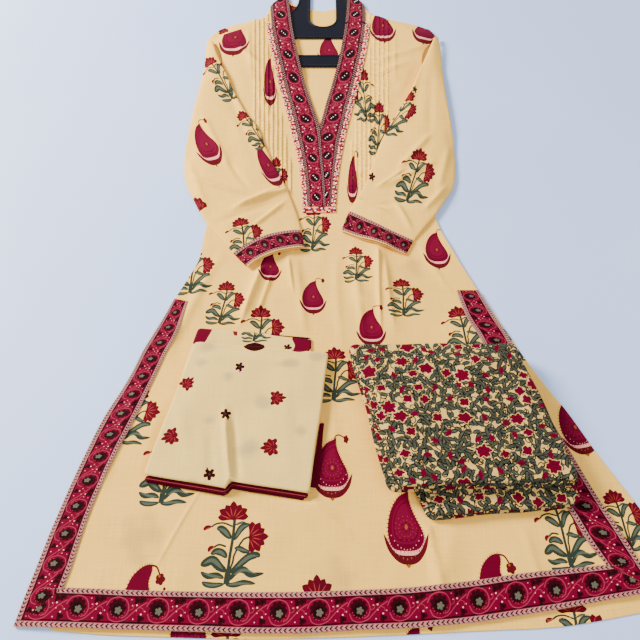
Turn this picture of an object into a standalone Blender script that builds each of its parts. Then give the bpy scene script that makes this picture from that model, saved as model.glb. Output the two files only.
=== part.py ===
"""A kurta set laid out on a flat surface: the kurta on its hanger, a folded stole and folded trousers.

Lengths are in metres and +Z is up. In the tables, x runs to the right across the kurta as it is seen from
above with its neck away from the viewer, and y runs up it from a line 46 mm below the middle of the front hem.
The finished model is moved so that the centre of its underside is the origin.
"""
import math

import bmesh
import bpy
import numpy as np
from mathutils import Vector
from mathutils.geometry import delaunay_2d_cdt

for thing in list(bpy.data.objects):
    bpy.data.objects.remove(thing, do_unlink=True)

# Driving sizes of the cloth
WALL = 0.0012          # wall of a cotton panel
STRIP_WALL = 0.0010    # wall of the border strips and the neck bands
GAP = 0.0003           # clearance between two pieces that lie on each other
SEAM = GAP / 2         # how far each piece of a seam is pulled back
NECK_X = 0.0065        # the kurta's centre line at the neck
V_POINT = (-0.001, 0.855)
PLACKET_BOTTOM = 0.664
EDGING_BOTTOM = 0.651
BORDER_STEP = 0.028    # spacing of the points along an edge
PANEL_STEP = 0.040     # spacing of the points inside a panel

# Driving sizes of the hanger
HANGER_WALL = 0.0045
HANGER_BEVEL = 0.0007
LOOP_WIDTH = 0.053
LOOP_BOTTOM = 1.150
LOOP_TOP = 1.285
BAR_LOW = 1.022
BAR_HIGH = 1.058
PLATE_LOW = 1.111
LIFT_MARGIN = 0.004    # how far past the hanger's edge the cloth stays level

# Driving sizes of the pintucks
TUCKS = 9
TUCK_PITCH = 0.0092
TUCK_FIRST = 0.062
TUCK_WIDTH = 0.0026
TUCK_HEIGHT = 0.0010
TUCK_TOP = 1.150
TUCK_END = 0.690
TUCK_TAPER = 0.19
TUCK_CENTRE = 0.002    # the line midway between the two sets of tucks
YOKE_MIDDLE = 0.098    # from that line to the middle of a set
YOKE_REACH = 0.050     # half the width that a set and its margin take
TUCK_CLEAR = 0.014     # how far the tucks stay clear of the neck bands

# The kurta's two side edges and the inner edges of the slit borders, a row for each height
SIDES = {
    "y":           [0.050, 0.091, 0.139, 0.177, 0.240, 0.297, 0.354, 0.400, 0.428, 0.450, 0.487, 0.519, 0.560],
    "front_left":  [-0.341, -0.334, -0.3255, -0.318, -0.303, -0.286, -0.262, -0.248, -0.237, -0.228, -0.215,
                    -0.201, -0.187],
    "strip_left":  [-0.298, -0.291, -0.285, -0.279, -0.262, -0.243, -0.227, -0.213, -0.202, -0.199, -0.193,
                    -0.180, -0.165],
    "strip_right": [0.345, 0.336, 0.318, 0.303, 0.280, 0.260, 0.243, 0.232, 0.224, 0.214, 0.206, 0.201, 0.190],
    "front_right": [0.398, 0.383, 0.3655, 0.349, 0.324, 0.304, 0.288, 0.275, 0.266, 0.256, 0.242, 0.229, 0.213],
}
BACK_SIDES = {
    "y":          [0.030, 0.077, 0.130, 0.180, 0.217, 0.264, 0.301, 0.340, 0.383, 0.431, 0.477, 0.522],
    "back_left":  [-0.303, -0.298, -0.292, -0.287, -0.280, -0.270, -0.261, -0.250, -0.238, -0.225, -0.211,
                   -0.1995],
    "back_right": [0.440, 0.430, 0.413, 0.392, 0.373, 0.349, 0.333, 0.311, 0.289, 0.268, 0.248, 0.228],
}
# Both panels above the slits, up to the shoulder tips
UPPER_SIDES = {
    "y":     [0.560, 0.590, 0.625, 0.660, 0.720, 0.800, 0.900, 0.955, 1.020, 1.075, 1.105],
    "left":  [-0.187, -0.184, -0.182, -0.180, -0.182, -0.190, -0.211, -0.198, -0.190, -0.200, -0.217],
    "right": [0.213, 0.202, 0.190, 0.186, 0.188, 0.198, 0.218, 0.206, 0.198, 0.209, 0.229],
}
SHOULDERS = {
    "left_x":  [-0.222, -0.206, -0.177, -0.143, -0.113],
    "right_x": [0.235, 0.224, 0.192, 0.149, 0.108],
    "y":       [1.118, 1.140, 1.157, 1.171, 1.184],
}
# Front hem: its lower edge, and the upper edge of its border
HEM = {
    "x":    [-0.341, -0.285, -0.214, -0.133, -0.062, -0.006, 0.037, 0.089, 0.179, 0.223, 0.282, 0.327, 0.384],
    "low":  [0.0510, 0.0500, 0.0480, 0.0460, 0.0440, 0.0450, 0.0475, 0.0490, 0.0560, 0.0620, 0.0705, 0.0780,
             0.0870],
    "high": [0.0920, 0.0910, 0.0885, 0.0870, 0.0865, 0.0870, 0.0885, 0.0905, 0.0990, 0.1050, 0.1110, 0.1150,
             0.1200],
}
BACK_HEM = {
    "x": [-0.303, -0.238, -0.170, -0.088, -0.006, 0.089, 0.178, 0.267, 0.361, 0.430],
    "y": [0.048, 0.043, 0.041, 0.039, 0.040, 0.043, 0.047, 0.051, 0.065, 0.077],
}
# Neck bands, a row for each height from the placket's foot to the top
BANDS = {
    "y":              [0.664, 0.720, 0.780, 0.838, 0.855, 0.907, 0.958, 1.025, 1.085, 1.160, 1.219],
    "left_outer":     [-0.020, -0.0235, -0.031, -0.041, -0.044, -0.054, -0.065, -0.078, -0.089, -0.100, -0.105],
    "left_inner":     [0.010, 0.008, 0.004, 0.001, -0.001, -0.013, -0.025, -0.038, -0.048, -0.058, -0.064],
    "right_inner":    [0.002, 0.000, -0.004, -0.007, -0.001, 0.009, 0.020, 0.034, 0.043, 0.052, 0.057],
    "right_outer":    [0.018, 0.022, 0.029, 0.0375, 0.041, 0.0505, 0.0615, 0.0745, 0.0845, 0.093, 0.0945],
    "edging_width":   [0.0085, 0.0085, 0.009, 0.010, 0.010, 0.011, 0.011, 0.011, 0.011, 0.010, 0.007],
}
BAND_TOP = {
    "left_x":  [-0.105, -0.098, -0.087, -0.075, -0.067],
    "right_x": [0.0945, 0.0885, 0.0785, 0.068, 0.060],
    "y":       [1.219, 1.235, 1.248, 1.257, 1.258],
}
UNDERLAP = 0.006       # rise of the left band where it passes over the right one

# The soft folds of the front: a ridge from one end to the other, its half width and height
FRONT_FOLDS = [
    {"start": (-0.0790, 0.580), "end": (-0.0925, 0.505), "half": 0.0090, "height": 0.0052},
    {"start": (-0.0940, 0.515), "end": (-0.1120, 0.446), "half": 0.0080, "height": 0.0046},
    {"start": (-0.0500, 0.590), "end": (-0.0425, 0.500), "half": 0.0080, "height": 0.0042},
    {"start": (0.0890, 0.600), "end": (0.0990, 0.478), "half": 0.0080, "height": 0.0056},
    {"start": (0.0980, 0.485), "end": (0.1080, 0.424), "half": 0.0090, "height": 0.0040},
    {"start": (0.0500, 0.520), "end": (0.0730, 0.468), "half": 0.0080, "height": 0.0036},
    {"start": (0.1560, 0.150), "end": (0.1300, 0.045), "half": 0.0120, "height": 0.0048},
]
# Sleeves, a row for each section from the shoulder to the cuff seam: outer edge, inner fold, hollow height
SLEEVE_LEFT = {
    "outer_x": [-0.2265, -0.2255, -0.2245, -0.2275, -0.2315, -0.2340, -0.2355, -0.2330, -0.2240, -0.2100,
                -0.1950, -0.1780, -0.1580, -0.1340],
    "outer_y": [1.104, 1.060, 1.010, 0.955, 0.900, 0.850, 0.800, 0.754, 0.713, 0.682, 0.651, 0.623, 0.598,
                0.567],
    "inner_x": [-0.2140, -0.2010, -0.1810, -0.1580, -0.1330, -0.1110, -0.0950, -0.0780, -0.0625, -0.0530,
                -0.0440, -0.0375, -0.0335, -0.0300],
    "inner_y": [1.092, 1.050, 0.998, 0.938, 0.886, 0.848, 0.800, 0.754, 0.720, 0.695, 0.668, 0.646, 0.630,
                0.613],
    "hollow":  [0.0008, 0.0018, 0.0028, 0.0032, 0.0032, 0.0032, 0.0032, 0.0032, 0.0032, 0.0030, 0.0028, 0.0026,
                0.0024, 0.0020],
}
SLEEVE_RIGHT = {
    "outer_x": [0.2380, 0.2385, 0.2365, 0.2350, 0.2355, 0.2360, 0.2350, 0.2310, 0.2235, 0.2070, 0.1870, 0.1730,
                0.1600, 0.1470],
    "outer_y": [1.110, 1.062, 1.005, 0.950, 0.895, 0.850, 0.800, 0.750, 0.708, 0.679, 0.646, 0.627, 0.610,
                0.592],
    "inner_x": [0.2260, 0.2120, 0.1900, 0.1690, 0.1440, 0.1230, 0.1030, 0.0890, 0.0760, 0.0670, 0.0590, 0.0550,
                0.0510, 0.0470],
    "inner_y": [1.096, 1.058, 1.000, 0.945, 0.896, 0.852, 0.800, 0.755, 0.712, 0.694, 0.678, 0.670, 0.662,
                0.653],
    "hollow":  [0.0008, 0.0018, 0.0028, 0.0032, 0.0032, 0.0032, 0.0032, 0.0032, 0.0032, 0.0030, 0.0028, 0.0026,
                0.0024, 0.0020],
}
CUFFS = {
    "cuff_left": {"top_outer": (-0.1340, 0.567), "top_inner": (-0.0300, 0.613), "foot_outer": (-0.1110, 0.539),
                  "foot_inner": (-0.0235, 0.576), "bow": 0.011},
    "cuff_right": {"top_outer": (0.1470, 0.592), "top_inner": (0.0470, 0.653), "foot_outer": (0.1330, 0.565),
                   "foot_inner": (0.0330, 0.611), "bow": -0.002},
}
# Folded pieces, a row for each layer from the bottom: its two heights and its four corners
TROUSER_LAYERS = [
    {"low": 0.0000, "high": 0.0055,
     "corners": [(0.046, 0.390), (0.268, 0.389), (0.315, 0.182), (0.130, 0.164)]},
    {"low": 0.0055, "high": 0.0110,
     "corners": [(0.043, 0.391), (0.270, 0.390), (0.318, 0.184), (0.136, 0.168)]},
    {"low": 0.0110, "high": 0.0165,
     "corners": [(0.040, 0.390), (0.268, 0.389), (0.316, 0.204), (0.083, 0.195)]},
    {"low": 0.0165, "high": 0.0220,
     "corners": [(0.043, 0.388), (0.267, 0.388), (0.317, 0.206), (0.088, 0.197)]},
    {"low": 0.0220, "high": 0.0275,
     "corners": [(0.041, 0.386), (0.265, 0.387), (0.315, 0.208), (0.094, 0.199)]},
]
STOLE_LAYERS = [
    {"low": 0.0000, "high": 0.0035,
     "corners": [(-0.175, 0.434), (-0.012, 0.418), (-0.015, 0.199), (-0.213, 0.221)]},
    {"low": 0.0035, "high": 0.0070,
     "corners": [(-0.176, 0.410), (0.010, 0.391), (-0.014, 0.198), (-0.214, 0.220)]},
    {"low": 0.0070, "high": 0.0110,
     "corners": [(-0.175, 0.408), (0.012, 0.390), (-0.013, 0.196), (-0.215, 0.218)]},
]
STOLE_FOOT_STRIP = [
    {"low": 0.0000, "high": 0.0030,
     "corners": [(-0.211, 0.2195), (-0.018, 0.1975), (-0.020, 0.189), (-0.213, 0.211)]},
    {"low": 0.0030, "high": 0.0062,
     "corners": [(-0.212, 0.2190), (-0.014, 0.1970), (-0.016, 0.191), (-0.214, 0.213)]},
]
STOLE_SIDE_STRIP = [
    {"low": 0.0000, "high": 0.0030,
     "corners": [(0.0000, 0.290), (0.0055, 0.290), (-0.0065, 0.206), (-0.0128, 0.206)]},
]
LAYER_ROUNDING = 0.0016
TROUSER_CROWN = 0.0025
STOLE_CROWN = 0.0012


def smooth(t):
    """Rises from 0 to 1 as t goes from 0 to 1, level at both ends."""
    t = np.clip(t, 0.0, 1.0)
    return t * t * (3.0 - 2.0 * t)


def curve(xs, ys, t):
    """A smooth curve through a table's points."""
    xs, ys, t = np.asarray(xs, float), np.asarray(ys, float), np.asarray(t, float)
    slope = np.gradient(ys, xs)
    k = np.clip(np.searchsorted(xs, t) - 1, 0, len(xs) - 2)
    span = xs[k + 1] - xs[k]
    u = (t - xs[k]) / span
    return ((1 + 2 * u) * (1 - u) ** 2 * ys[k] + u * (1 - u) ** 2 * span * slope[k]
            + u * u * (3 - 2 * u) * ys[k + 1] + u * u * (u - 1) * span * slope[k + 1])


def column(table, name, at, key="y"):
    return curve(table[key], table[name], at)


def spaced(start, end, step=BORDER_STEP):
    """Even stops from start to end, both included."""
    return np.linspace(start, end, max(2, int(round(abs(end - start) / step)) + 1))


def join(*runs):
    """One closed outline from runs of points, counterclockwise and without the points that repeat."""
    points = []
    for run in runs:
        for x, y in run:
            if not points or math.hypot(x - points[-1][0], y - points[-1][1]) > 1e-6:
                points.append((float(x), float(y)))
    if math.hypot(points[0][0] - points[-1][0], points[0][1] - points[-1][1]) < 1e-6:
        points.pop()
    area = sum(a[0] * b[1] - b[0] * a[1] for a, b in zip(points, points[1:] + points[:1]))
    return points if area > 0 else points[::-1]


def outside(outline, x, y):
    """Signed distance from an outline: positive outside it."""
    x, y = np.atleast_1d(np.asarray(x, float)), np.atleast_1d(np.asarray(y, float))
    a = np.asarray(outline, float)
    b = np.roll(a, -1, axis=0)
    px, py = x[:, None] - a[None, :, 0], y[:, None] - a[None, :, 1]
    ex, ey = b[:, 0] - a[:, 0], b[:, 1] - a[:, 1]
    t = np.clip((px * ex + py * ey) / (ex * ex + ey * ey), 0, 1)
    distance = np.hypot(px - t * ex, py - t * ey).min(axis=1)
    crosses = ((a[None, :, 1] > y[:, None]) != (b[None, :, 1] > y[:, None]))
    rise = np.where(ey == 0, 1e-12, ey)
    inside = (crosses & (px < py * ex / rise)).sum(axis=1) % 2 == 1
    return np.where(inside, -distance, distance)


# Outlines of the kurta's pieces
SLIT_TOP = 0.500
LEFT_CORNER = (-0.341, 0.051)
RIGHT_CORNER = (0.386, 0.087)
LEFT_MITRE = (-0.2925, 0.0912)
RIGHT_MITRE = (0.3330, 0.1155)
slit_rows = spaced(0.110, SLIT_TOP - 0.020)
side_rows = spaced(SLIT_TOP, 0.640)
upper_rows = spaced(0.660, 1.105)
back_rows = spaced(0.085, 0.480)
band_rows = spaced(PLACKET_BOTTOM, 0.855, 0.032)
neck_rows = np.concatenate([spaced(0.855, 1.185, 0.030), spaced(1.193, 1.219, 0.0085)])
hem_stops = spaced(-0.285, 0.330)


def side(name, rows):
    return [(column(SIDES, name, y), y) for y in rows]


def upper_side(name, rows):
    return [(column(UPPER_SIDES, name, y), y) for y in rows]


def lower_or_upper(lower, upper, rows):
    return [(column(SIDES, lower, y) if y < 0.555 else column(UPPER_SIDES, upper, y), y) for y in rows]


def band(name, rows):
    return [(column(BANDS, name, y), y) for y in rows]


def edging(name, sign, rows):
    return [(column(BANDS, name, y) + sign * column(BANDS, "edging_width", y), y) for y in rows]


hem_low = [(x, column(HEM, "low", x, "x")) for x in [-0.313] + list(hem_stops)]
hem_high = [(x, column(HEM, "high", x, "x")) for x in hem_stops[1:-1]]
left_top = list(zip(BAND_TOP["left_x"], BAND_TOP["y"]))
right_top = list(zip(BAND_TOP["right_x"], BAND_TOP["y"]))
left_shoulder = list(zip(SHOULDERS["left_x"], SHOULDERS["y"]))
right_shoulder = list(zip(SHOULDERS["right_x"], SHOULDERS["y"]))
v_left = band("left_inner", neck_rows)
v_right = band("right_inner", neck_rows)
full_rows = np.concatenate([band_rows, neck_rows[1:]])

front_outline = join(
    [LEFT_CORNER], hem_low, [RIGHT_CORNER],
    side("front_right", slit_rows), lower_or_upper("front_right", "right", side_rows),
    upper_side("right", upper_rows), right_shoulder, right_top, v_right[::-1], v_left, left_top[::-1],
    left_shoulder[::-1], upper_side("left", upper_rows[::-1]),
    lower_or_upper("front_left", "left", side_rows[::-1]), side("front_left", slit_rows[::-1]))
hem_border_outline = join([LEFT_CORNER], hem_low, [RIGHT_CORNER, RIGHT_MITRE], hem_high[::-1], [LEFT_MITRE])
slit_left_outline = join([LEFT_CORNER, LEFT_MITRE], side("strip_left", list(slit_rows) + [SLIT_TOP]),
                         side("front_left", [SLIT_TOP] + list(slit_rows[::-1])))
slit_right_outline = join([RIGHT_CORNER], side("front_right", list(slit_rows) + [SLIT_TOP]),
                          side("strip_right", [SLIT_TOP] + list(slit_rows[:0:-1])), [RIGHT_MITRE])
band_left_outline = join(band("left_outer", full_rows), left_top, band("left_inner", full_rows[::-1]))
band_right_outline = join(band("right_inner", full_rows), right_top[::-1], band("right_outer", full_rows[::-1]))
edging_rows = full_rows[full_rows < 1.18]
edging_left_outline = join(band("left_outer", edging_rows), edging("left_outer", -1, edging_rows[::-1]))
edging_right_outline = join(band("right_outer", edging_rows), edging("right_outer", 1, edging_rows[::-1]))
foot_left = edging("left_outer", -1, [PLACKET_BOTTOM])[0]
foot_right = edging("right_outer", 1, [PLACKET_BOTTOM])[0]
placket_foot = [band(name, [PLACKET_BOTTOM])[0]
                for name in ("right_outer", "left_inner", "right_inner", "left_outer")]
edging_foot_outline = join([foot_left, (foot_left[0], EDGING_BOTTOM), (foot_right[0], EDGING_BOTTOM), foot_right],
                           placket_foot)
back_outline = join(
    [(x, column(BACK_HEM, "y", x, "x")) for x in spaced(-0.300, 0.430)],
    [(column(BACK_SIDES, "back_right", y), y) for y in back_rows],
    lower_or_upper("front_right", "right", side_rows), upper_side("right", upper_rows), right_shoulder,
    [(0.0945, 1.219), (0.078, 1.246), (0.064, 1.247), (0.038, 1.221), (NECK_X, 1.208), (-0.042, 1.221),
     (-0.068, 1.247), (-0.087, 1.246), (-0.105, 1.219)],
    left_shoulder[::-1], upper_side("left", upper_rows[::-1]),
    lower_or_upper("front_left", "left", side_rows[::-1]),
    [(column(BACK_SIDES, "back_left", y), y) for y in back_rows[::-1]])


def half_hanger(sign):
    """One side of the hanger's outer outline, from the top of its loop to the middle of its bar."""
    crown = [(0.052 * math.sin(a), 1.268 + 0.042 * math.cos(a)) for a in np.linspace(0, math.pi / 2, 7)]
    rest = [(0.052, 1.240), (0.056, 1.222), (0.066, 1.203), (0.085, 1.187), (0.115, 1.170), (0.150, 1.152),
            (0.180, 1.134), (0.193, 1.122), (0.199, 1.108), (0.197, 1.094), (0.187, 1.070), (0.174, 1.046),
            (0.162, 1.030), (0.146, BAR_LOW), (0.070, BAR_LOW)]
    return [(NECK_X + sign * x, y) for x, y in crown + rest]


hanger_outline = join(half_hanger(1), half_hanger(-1)[::-1])
LOOP_ROUND = LOOP_WIDTH / 2
loop_hole = join([(NECK_X + LOOP_ROUND * math.cos(a), LOOP_TOP - LOOP_ROUND + LOOP_ROUND * math.sin(a))
                  for a in np.linspace(0, math.pi, 9)],
                 [(NECK_X + LOOP_ROUND * math.cos(a), LOOP_BOTTOM + LOOP_ROUND + LOOP_ROUND * math.sin(a))
                  for a in np.linspace(math.pi, math.tau, 9)])
window_half = [(0.0, PLATE_LOW), (0.070, PLATE_LOW), (0.115, 1.112), (0.150, 1.102), (0.166, 1.094),
               (0.170, 1.084), (0.164, 1.070), (0.154, BAR_HIGH + 0.003), (0.142, BAR_HIGH), (0.0, BAR_HIGH)]
window_hole = join([(NECK_X - x, y) for x, y in window_half], [(NECK_X + x, y) for x, y in window_half[::-1]])


# Heights of the front panel, which everything laid on it follows
def hanger_lift(x, y):
    """How far the hanger between the panels lifts the front."""
    beyond = outside(hanger_outline, x, y)
    slope = 0.010 + 0.050 * smooth((1.080 - y) / 0.05)
    return (HANGER_WALL + 2 * GAP) * (1.0 - smooth((beyond - LIFT_MARGIN) / slope))


def fold_height(x, y):
    """Height of the soft folds below the waist and at the hem."""
    total = np.zeros_like(x)
    for fold in FRONT_FOLDS:
        (x0, y0), (x1, y1) = fold["start"], fold["end"]
        length = math.hypot(x1 - x0, y1 - y0)
        ex, ey = (x1 - x0) / length, (y1 - y0) / length
        along = ((x - x0) * ex + (y - y0) * ey) / length
        across = (x - x0) * -ey + (y - y0) * ex
        ends = smooth((along + 0.10) / 0.25) * smooth((1.10 - along) / 0.35)
        total = np.maximum(total, fold["height"] * ends * np.exp(-(across / fold["half"]) ** 2))
    return total


def front_low(x, y):
    """Underside of the front panel: on the back panel, and on the surface where it reaches past the back."""
    x, y = np.atleast_1d(np.asarray(x, float)), np.atleast_1d(np.asarray(y, float))
    on_back = 1.0 - smooth((outside(back_outline, x, y) - 0.010) / 0.020)
    return (WALL + GAP) * on_back + np.maximum(hanger_lift(x, y), fold_height(x, y))


def tuck_x(number, sign, y):
    """Where a pintuck runs: tucks on one side lean slightly together towards the waist."""
    lean = 1.0 - TUCK_TAPER * (TUCK_TOP - y) / (TUCK_TOP - TUCK_END)
    return TUCK_CENTRE + sign * (TUCK_FIRST + TUCK_PITCH * number) * lean


def tuck_height(x, y):
    """Height of the pintucks, which fade at the lower end of the yoke."""
    total = np.zeros_like(x)
    for sign in (-1, 1):
        for number in range(TUCKS):
            away = np.abs(x - tuck_x(number, sign, y)) / (TUCK_WIDTH / 2)
            total = np.maximum(total, np.clip(1.0 - away, 0, 1))
    return TUCK_HEIGHT * total * (y > TUCK_END - 1e-6) * (y < TUCK_TOP + 0.04)


def front_top(x, y):
    x, y = np.atleast_1d(np.asarray(x, float)), np.atleast_1d(np.asarray(y, float))
    return front_low(x, y) + WALL + tuck_height(x, y)


def lying_over(x, y):
    """Height of the underside of cloth that lies over the front and beside it."""
    x, y = np.atleast_1d(np.asarray(x, float)), np.atleast_1d(np.asarray(y, float))
    reach = 0.018
    highest = np.zeros_like(x)
    for turn in np.arange(0, math.tau, math.tau / 8):
        for radius in (0.0, 0.5 * reach, reach):
            near_x, near_y = x + radius * math.cos(turn), y + radius * math.sin(turn)
            highest = np.maximum(highest, front_low(near_x, near_y))
    on_kurta = 1.0 - smooth((outside(front_outline, x, y) - 0.014) / 0.030)
    return (highest + WALL + TUCK_HEIGHT + GAP) * on_kurta


# Mesh making
def inner_points(outline, step, margin):
    """Staggered points inside an outline, clear of its edge."""
    low, high = np.min(outline, axis=0), np.max(outline, axis=0)
    rows = np.arange(low[1] + step / 2, high[1], step * 0.87)
    grid = np.array([(x + (step / 2 if k % 2 else 0), y)
                     for k, y in enumerate(rows) for x in np.arange(low[0], high[0], step)])
    return grid[outside(outline, grid[:, 0], grid[:, 1]) < -margin]


def triangulate(outlines, lines=(), extra=()):
    """Plan triangles, and for each outline the set of triangles that it holds."""
    points, faces, edges = [], [], []
    for outline in outlines:
        faces.append(list(range(len(points), len(points) + len(outline))))
        points += [Vector(p) for p in outline]
    for line in lines:
        edges += [(len(points) + k, len(points) + k + 1) for k in range(len(line) - 1)]
        points += [Vector(p) for p in line]
    points += [Vector(p) for p in extra]
    verts, _, tris, _, _, owners = delaunay_2d_cdt(points, edges, faces, 0, 1e-6, True)
    held = [[tri for tri, own in zip(tris, owners) if k in own] for k in range(len(outlines))]
    return np.array([(v.x, v.y) for v in verts]), held


def rim_edges(triangles):
    """The directed edges that only one triangle has."""
    edges = {(t[k], t[(k + 1) % 3]) for t in triangles for k in range(3)}
    return [(a, b) for a, b in edges if (b, a) not in edges]


def pulled_back(plan, triangles, by):
    """Plan points with the rim moved inwards."""
    inward = np.zeros_like(plan)
    for a, b in rim_edges(triangles):
        run = plan[b] - plan[a]
        normal = np.array([-run[1], run[0]]) / max(np.hypot(*run), 1e-9)
        inward[a] += normal
        inward[b] += normal
    size = np.hypot(inward[:, 0], inward[:, 1])
    rim = size > 1e-6
    scale = np.zeros(len(plan))
    scale[rim] = by * np.minimum(2.0 / size[rim], 2.0) / size[rim]
    return plan + inward * scale[:, None]


def make_object(name, verts, faces, colour, roughness):
    mesh = bpy.data.meshes.new(name)
    mesh.from_pydata([tuple(v) for v in verts], [], faces)
    mesh.update()
    material = bpy.data.materials.new(name)
    material.use_nodes = True
    surface = material.node_tree.nodes["Principled BSDF"]
    surface.inputs["Base Color"].default_value = (*colour, 1.0)
    surface.inputs["Roughness"].default_value = roughness
    surface.inputs["Metallic"].default_value = 0.0
    mesh.materials.append(material)
    mesh.shade_smooth()
    mesh.set_sharp_from_angle(angle=math.radians(40))
    obj = bpy.data.objects.new(name, mesh)
    bpy.context.collection.objects.link(obj)
    return obj


def slab(name, plan, triangles, low, high, colour, roughness=0.85, seam=SEAM, bevel=0.0):
    """A closed wall between two height functions, over the triangles of a plan."""
    plan = pulled_back(plan, triangles, seam)
    used = sorted({v for t in triangles for v in t})
    index = {v: k for k, v in enumerate(used)}
    tris = [tuple(index[v] for v in t) for t in triangles]
    flat = plan[used]
    caps = pulled_back(flat, tris, bevel) if bevel else flat
    bottom = np.column_stack([caps, low(flat[:, 0], flat[:, 1])])
    top = np.column_stack([caps, high(flat[:, 0], flat[:, 1])])
    count = len(used)
    verts = [bottom, top]
    faces = [t[::-1] for t in tris] + [tuple(v + count for v in t) for t in tris]
    rims = rim_edges(tris)
    if bevel:
        verts += [np.column_stack([flat, bottom[:, 2] + bevel]), np.column_stack([flat, top[:, 2] - bevel])]
        levels = [0, 2 * count, 3 * count, count]
    else:
        levels = [0, count]
    for lower, upper in zip(levels, levels[1:]):
        for a, b in rims:
            faces += [(a + lower, b + lower, b + upper), (a + lower, b + upper, a + upper)]
    verts = np.concatenate(verts)
    if bevel:
        touched = sorted({v for f in faces for v in f})
        renumber = {v: k for k, v in enumerate(touched)}
        verts, faces = verts[touched], [tuple(renumber[v] for v in f) for f in faces]
    return make_object(name, verts, faces, colour, roughness)


CREAM = (0.76, 0.60, 0.37)
STOLE_CREAM = (0.72, 0.62, 0.43)
CRIMSON = (0.38, 0.02, 0.05)
CORAL = (0.52, 0.14, 0.13)
NAVY = (0.010, 0.014, 0.028)
LEAF_GREY = (0.16, 0.14, 0.10)


def surround(below, margin, step):
    """Runs of points just outside a piece under the front, where the front starts to fall away from it."""
    runs, run = [], []
    points = np.array(below)
    for a, b in zip(points, np.roll(points, -1, axis=0)):
        length = math.hypot(*(b - a))
        normal = np.array([b[1] - a[1], a[0] - b[0]]) / length
        for t in np.arange(0, 1, 1 / max(1, round(length / step))):
            spot = a + (b - a) * t + normal * margin
            within = outside(front_outline, *spot)[0] < -0.002
            if within and (not run or math.hypot(*(spot - run[-1])) > 0.004):
                run.append(tuple(spot))
            elif not within and run:
                runs.append(run)
                run = []
    return [r for r in runs + [run] if len(r) > 1]


def make_kurta_panels():
    tuck_lines = []
    for sign in (-1, 1):
        for number in range(TUCKS):
            for offset in (-TUCK_WIDTH / 2, 0.0, TUCK_WIDTH / 2):
                stops = spaced(TUCK_END, TUCK_TOP, 0.058)
                tuck_lines.append([(tuck_x(number, sign, y) + offset, y) for y in stops])
    visible = [[p for p in line if outside(front_outline, *p)[0] < -0.002
                and outside(band_left_outline, *p)[0] > TUCK_CLEAR
                and outside(band_right_outline, *p)[0] > TUCK_CLEAR]
               for line in tuck_lines]
    visible = [line for line in visible if len(line) > 1]
    grid = inner_points(front_outline, PANEL_STEP, 0.012)
    beside = np.abs(np.abs(grid[:, 0] - TUCK_CENTRE) - YOKE_MIDDLE) < YOKE_REACH
    grid = grid[~(beside & (grid[:, 1] > TUCK_END - 0.01))]
    fold_points = []
    for fold in FRONT_FOLDS:
        (x0, y0), (x1, y1) = fold["start"], fold["end"]
        length = math.hypot(x1 - x0, y1 - y0)
        nx, ny = -(y1 - y0) / length, (x1 - x0) / length
        for t in spaced(-0.12, 1.12, 0.020 / length):
            for across in (-2.0, -1.0, 0.0, 1.0, 2.0):
                reach = across * fold["half"]
                fold_points.append((x0 + t * (x1 - x0) + nx * reach, y0 + t * (y1 - y0) + ny * reach))
    fold_points = [p for p in fold_points if outside(front_outline, *p)[0] < -0.006]
    around = inner_points([(-0.24, 0.93), (0.25, 0.93), (0.25, 1.19), (-0.24, 1.19)], 0.022, 0.0)
    around = [tuple(p) for p in around if outside(front_outline, *p)[0] < -0.006
              and not abs(abs(p[0] - TUCK_CENTRE) - YOKE_MIDDLE) < YOKE_REACH - 0.004]
    keep = [tuple(p) for p in grid if not fold_points or
            min(math.hypot(p[0] - q[0], p[1] - q[1]) for q in fold_points) > 0.012]
    outlines = [front_outline, hem_border_outline, slit_left_outline, slit_right_outline, band_left_outline,
                band_right_outline, edging_left_outline, edging_right_outline, edging_foot_outline]
    underlap = [(column(BANDS, "right_inner", y) - UNDERLAP, y) for y in full_rows if y < 0.85]
    edge_lines = surround(hanger_outline, LIFT_MARGIN - 0.0005, 0.018)
    edge_lines += surround(back_outline, 0.0090, BORDER_STEP)
    plan, held = triangulate(outlines, visible + [underlap] + edge_lines, keep + fold_points + around)
    slab("kurta_front", plan, held[0], front_low, front_top, CREAM, seam=0.0)

    def strip_low(x, y):
        return front_top(x, y) + GAP

    def strip_high(x, y):
        return front_top(x, y) + GAP + STRIP_WALL

    def band_rise(x, y):
        step = 1.0 - smooth((column(BANDS, "right_inner", np.clip(y, 0.664, 1.219)) - x) / UNDERLAP)
        return (GAP + STRIP_WALL) * step * (y < V_POINT[1] + 0.012)

    strips = [("hem_border", 1), ("slit_border_left", 2), ("slit_border_right", 3), ("neck_band_right", 5)]
    for name, number in strips:
        slab(name, plan, held[number], strip_low, strip_high, CRIMSON)
    slab("neck_band_left", plan, held[4], lambda x, y: strip_low(x, y) + band_rise(x, y),
         lambda x, y: strip_high(x, y) + band_rise(x, y), CRIMSON)
    for name, number in (("neck_edging_left", 6), ("neck_edging_right", 7), ("neck_edging_foot", 8)):
        slab(name, plan, held[number], strip_low, strip_high, CORAL)


def make_back():
    plan, held = triangulate([back_outline], (), inner_points(back_outline, 0.12, 0.03))
    slab("kurta_back", plan, held[0], lambda x, y: np.zeros_like(x), lambda x, y: np.full_like(x, WALL), CREAM,
         seam=0.0)


def make_hanger():
    plan, held = triangulate([hanger_outline, loop_hole, window_hole])
    holes = {tuple(sorted(t)) for t in held[1] + held[2]}
    body = [t for t in held[0] if tuple(sorted(t)) not in holes]
    floor = WALL + GAP
    slab("hanger", plan, body, lambda x, y: np.full_like(x, floor),
         lambda x, y: np.full_like(x, floor + HANGER_WALL), NAVY, 0.35, seam=0.0, bevel=HANGER_BEVEL)


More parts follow.
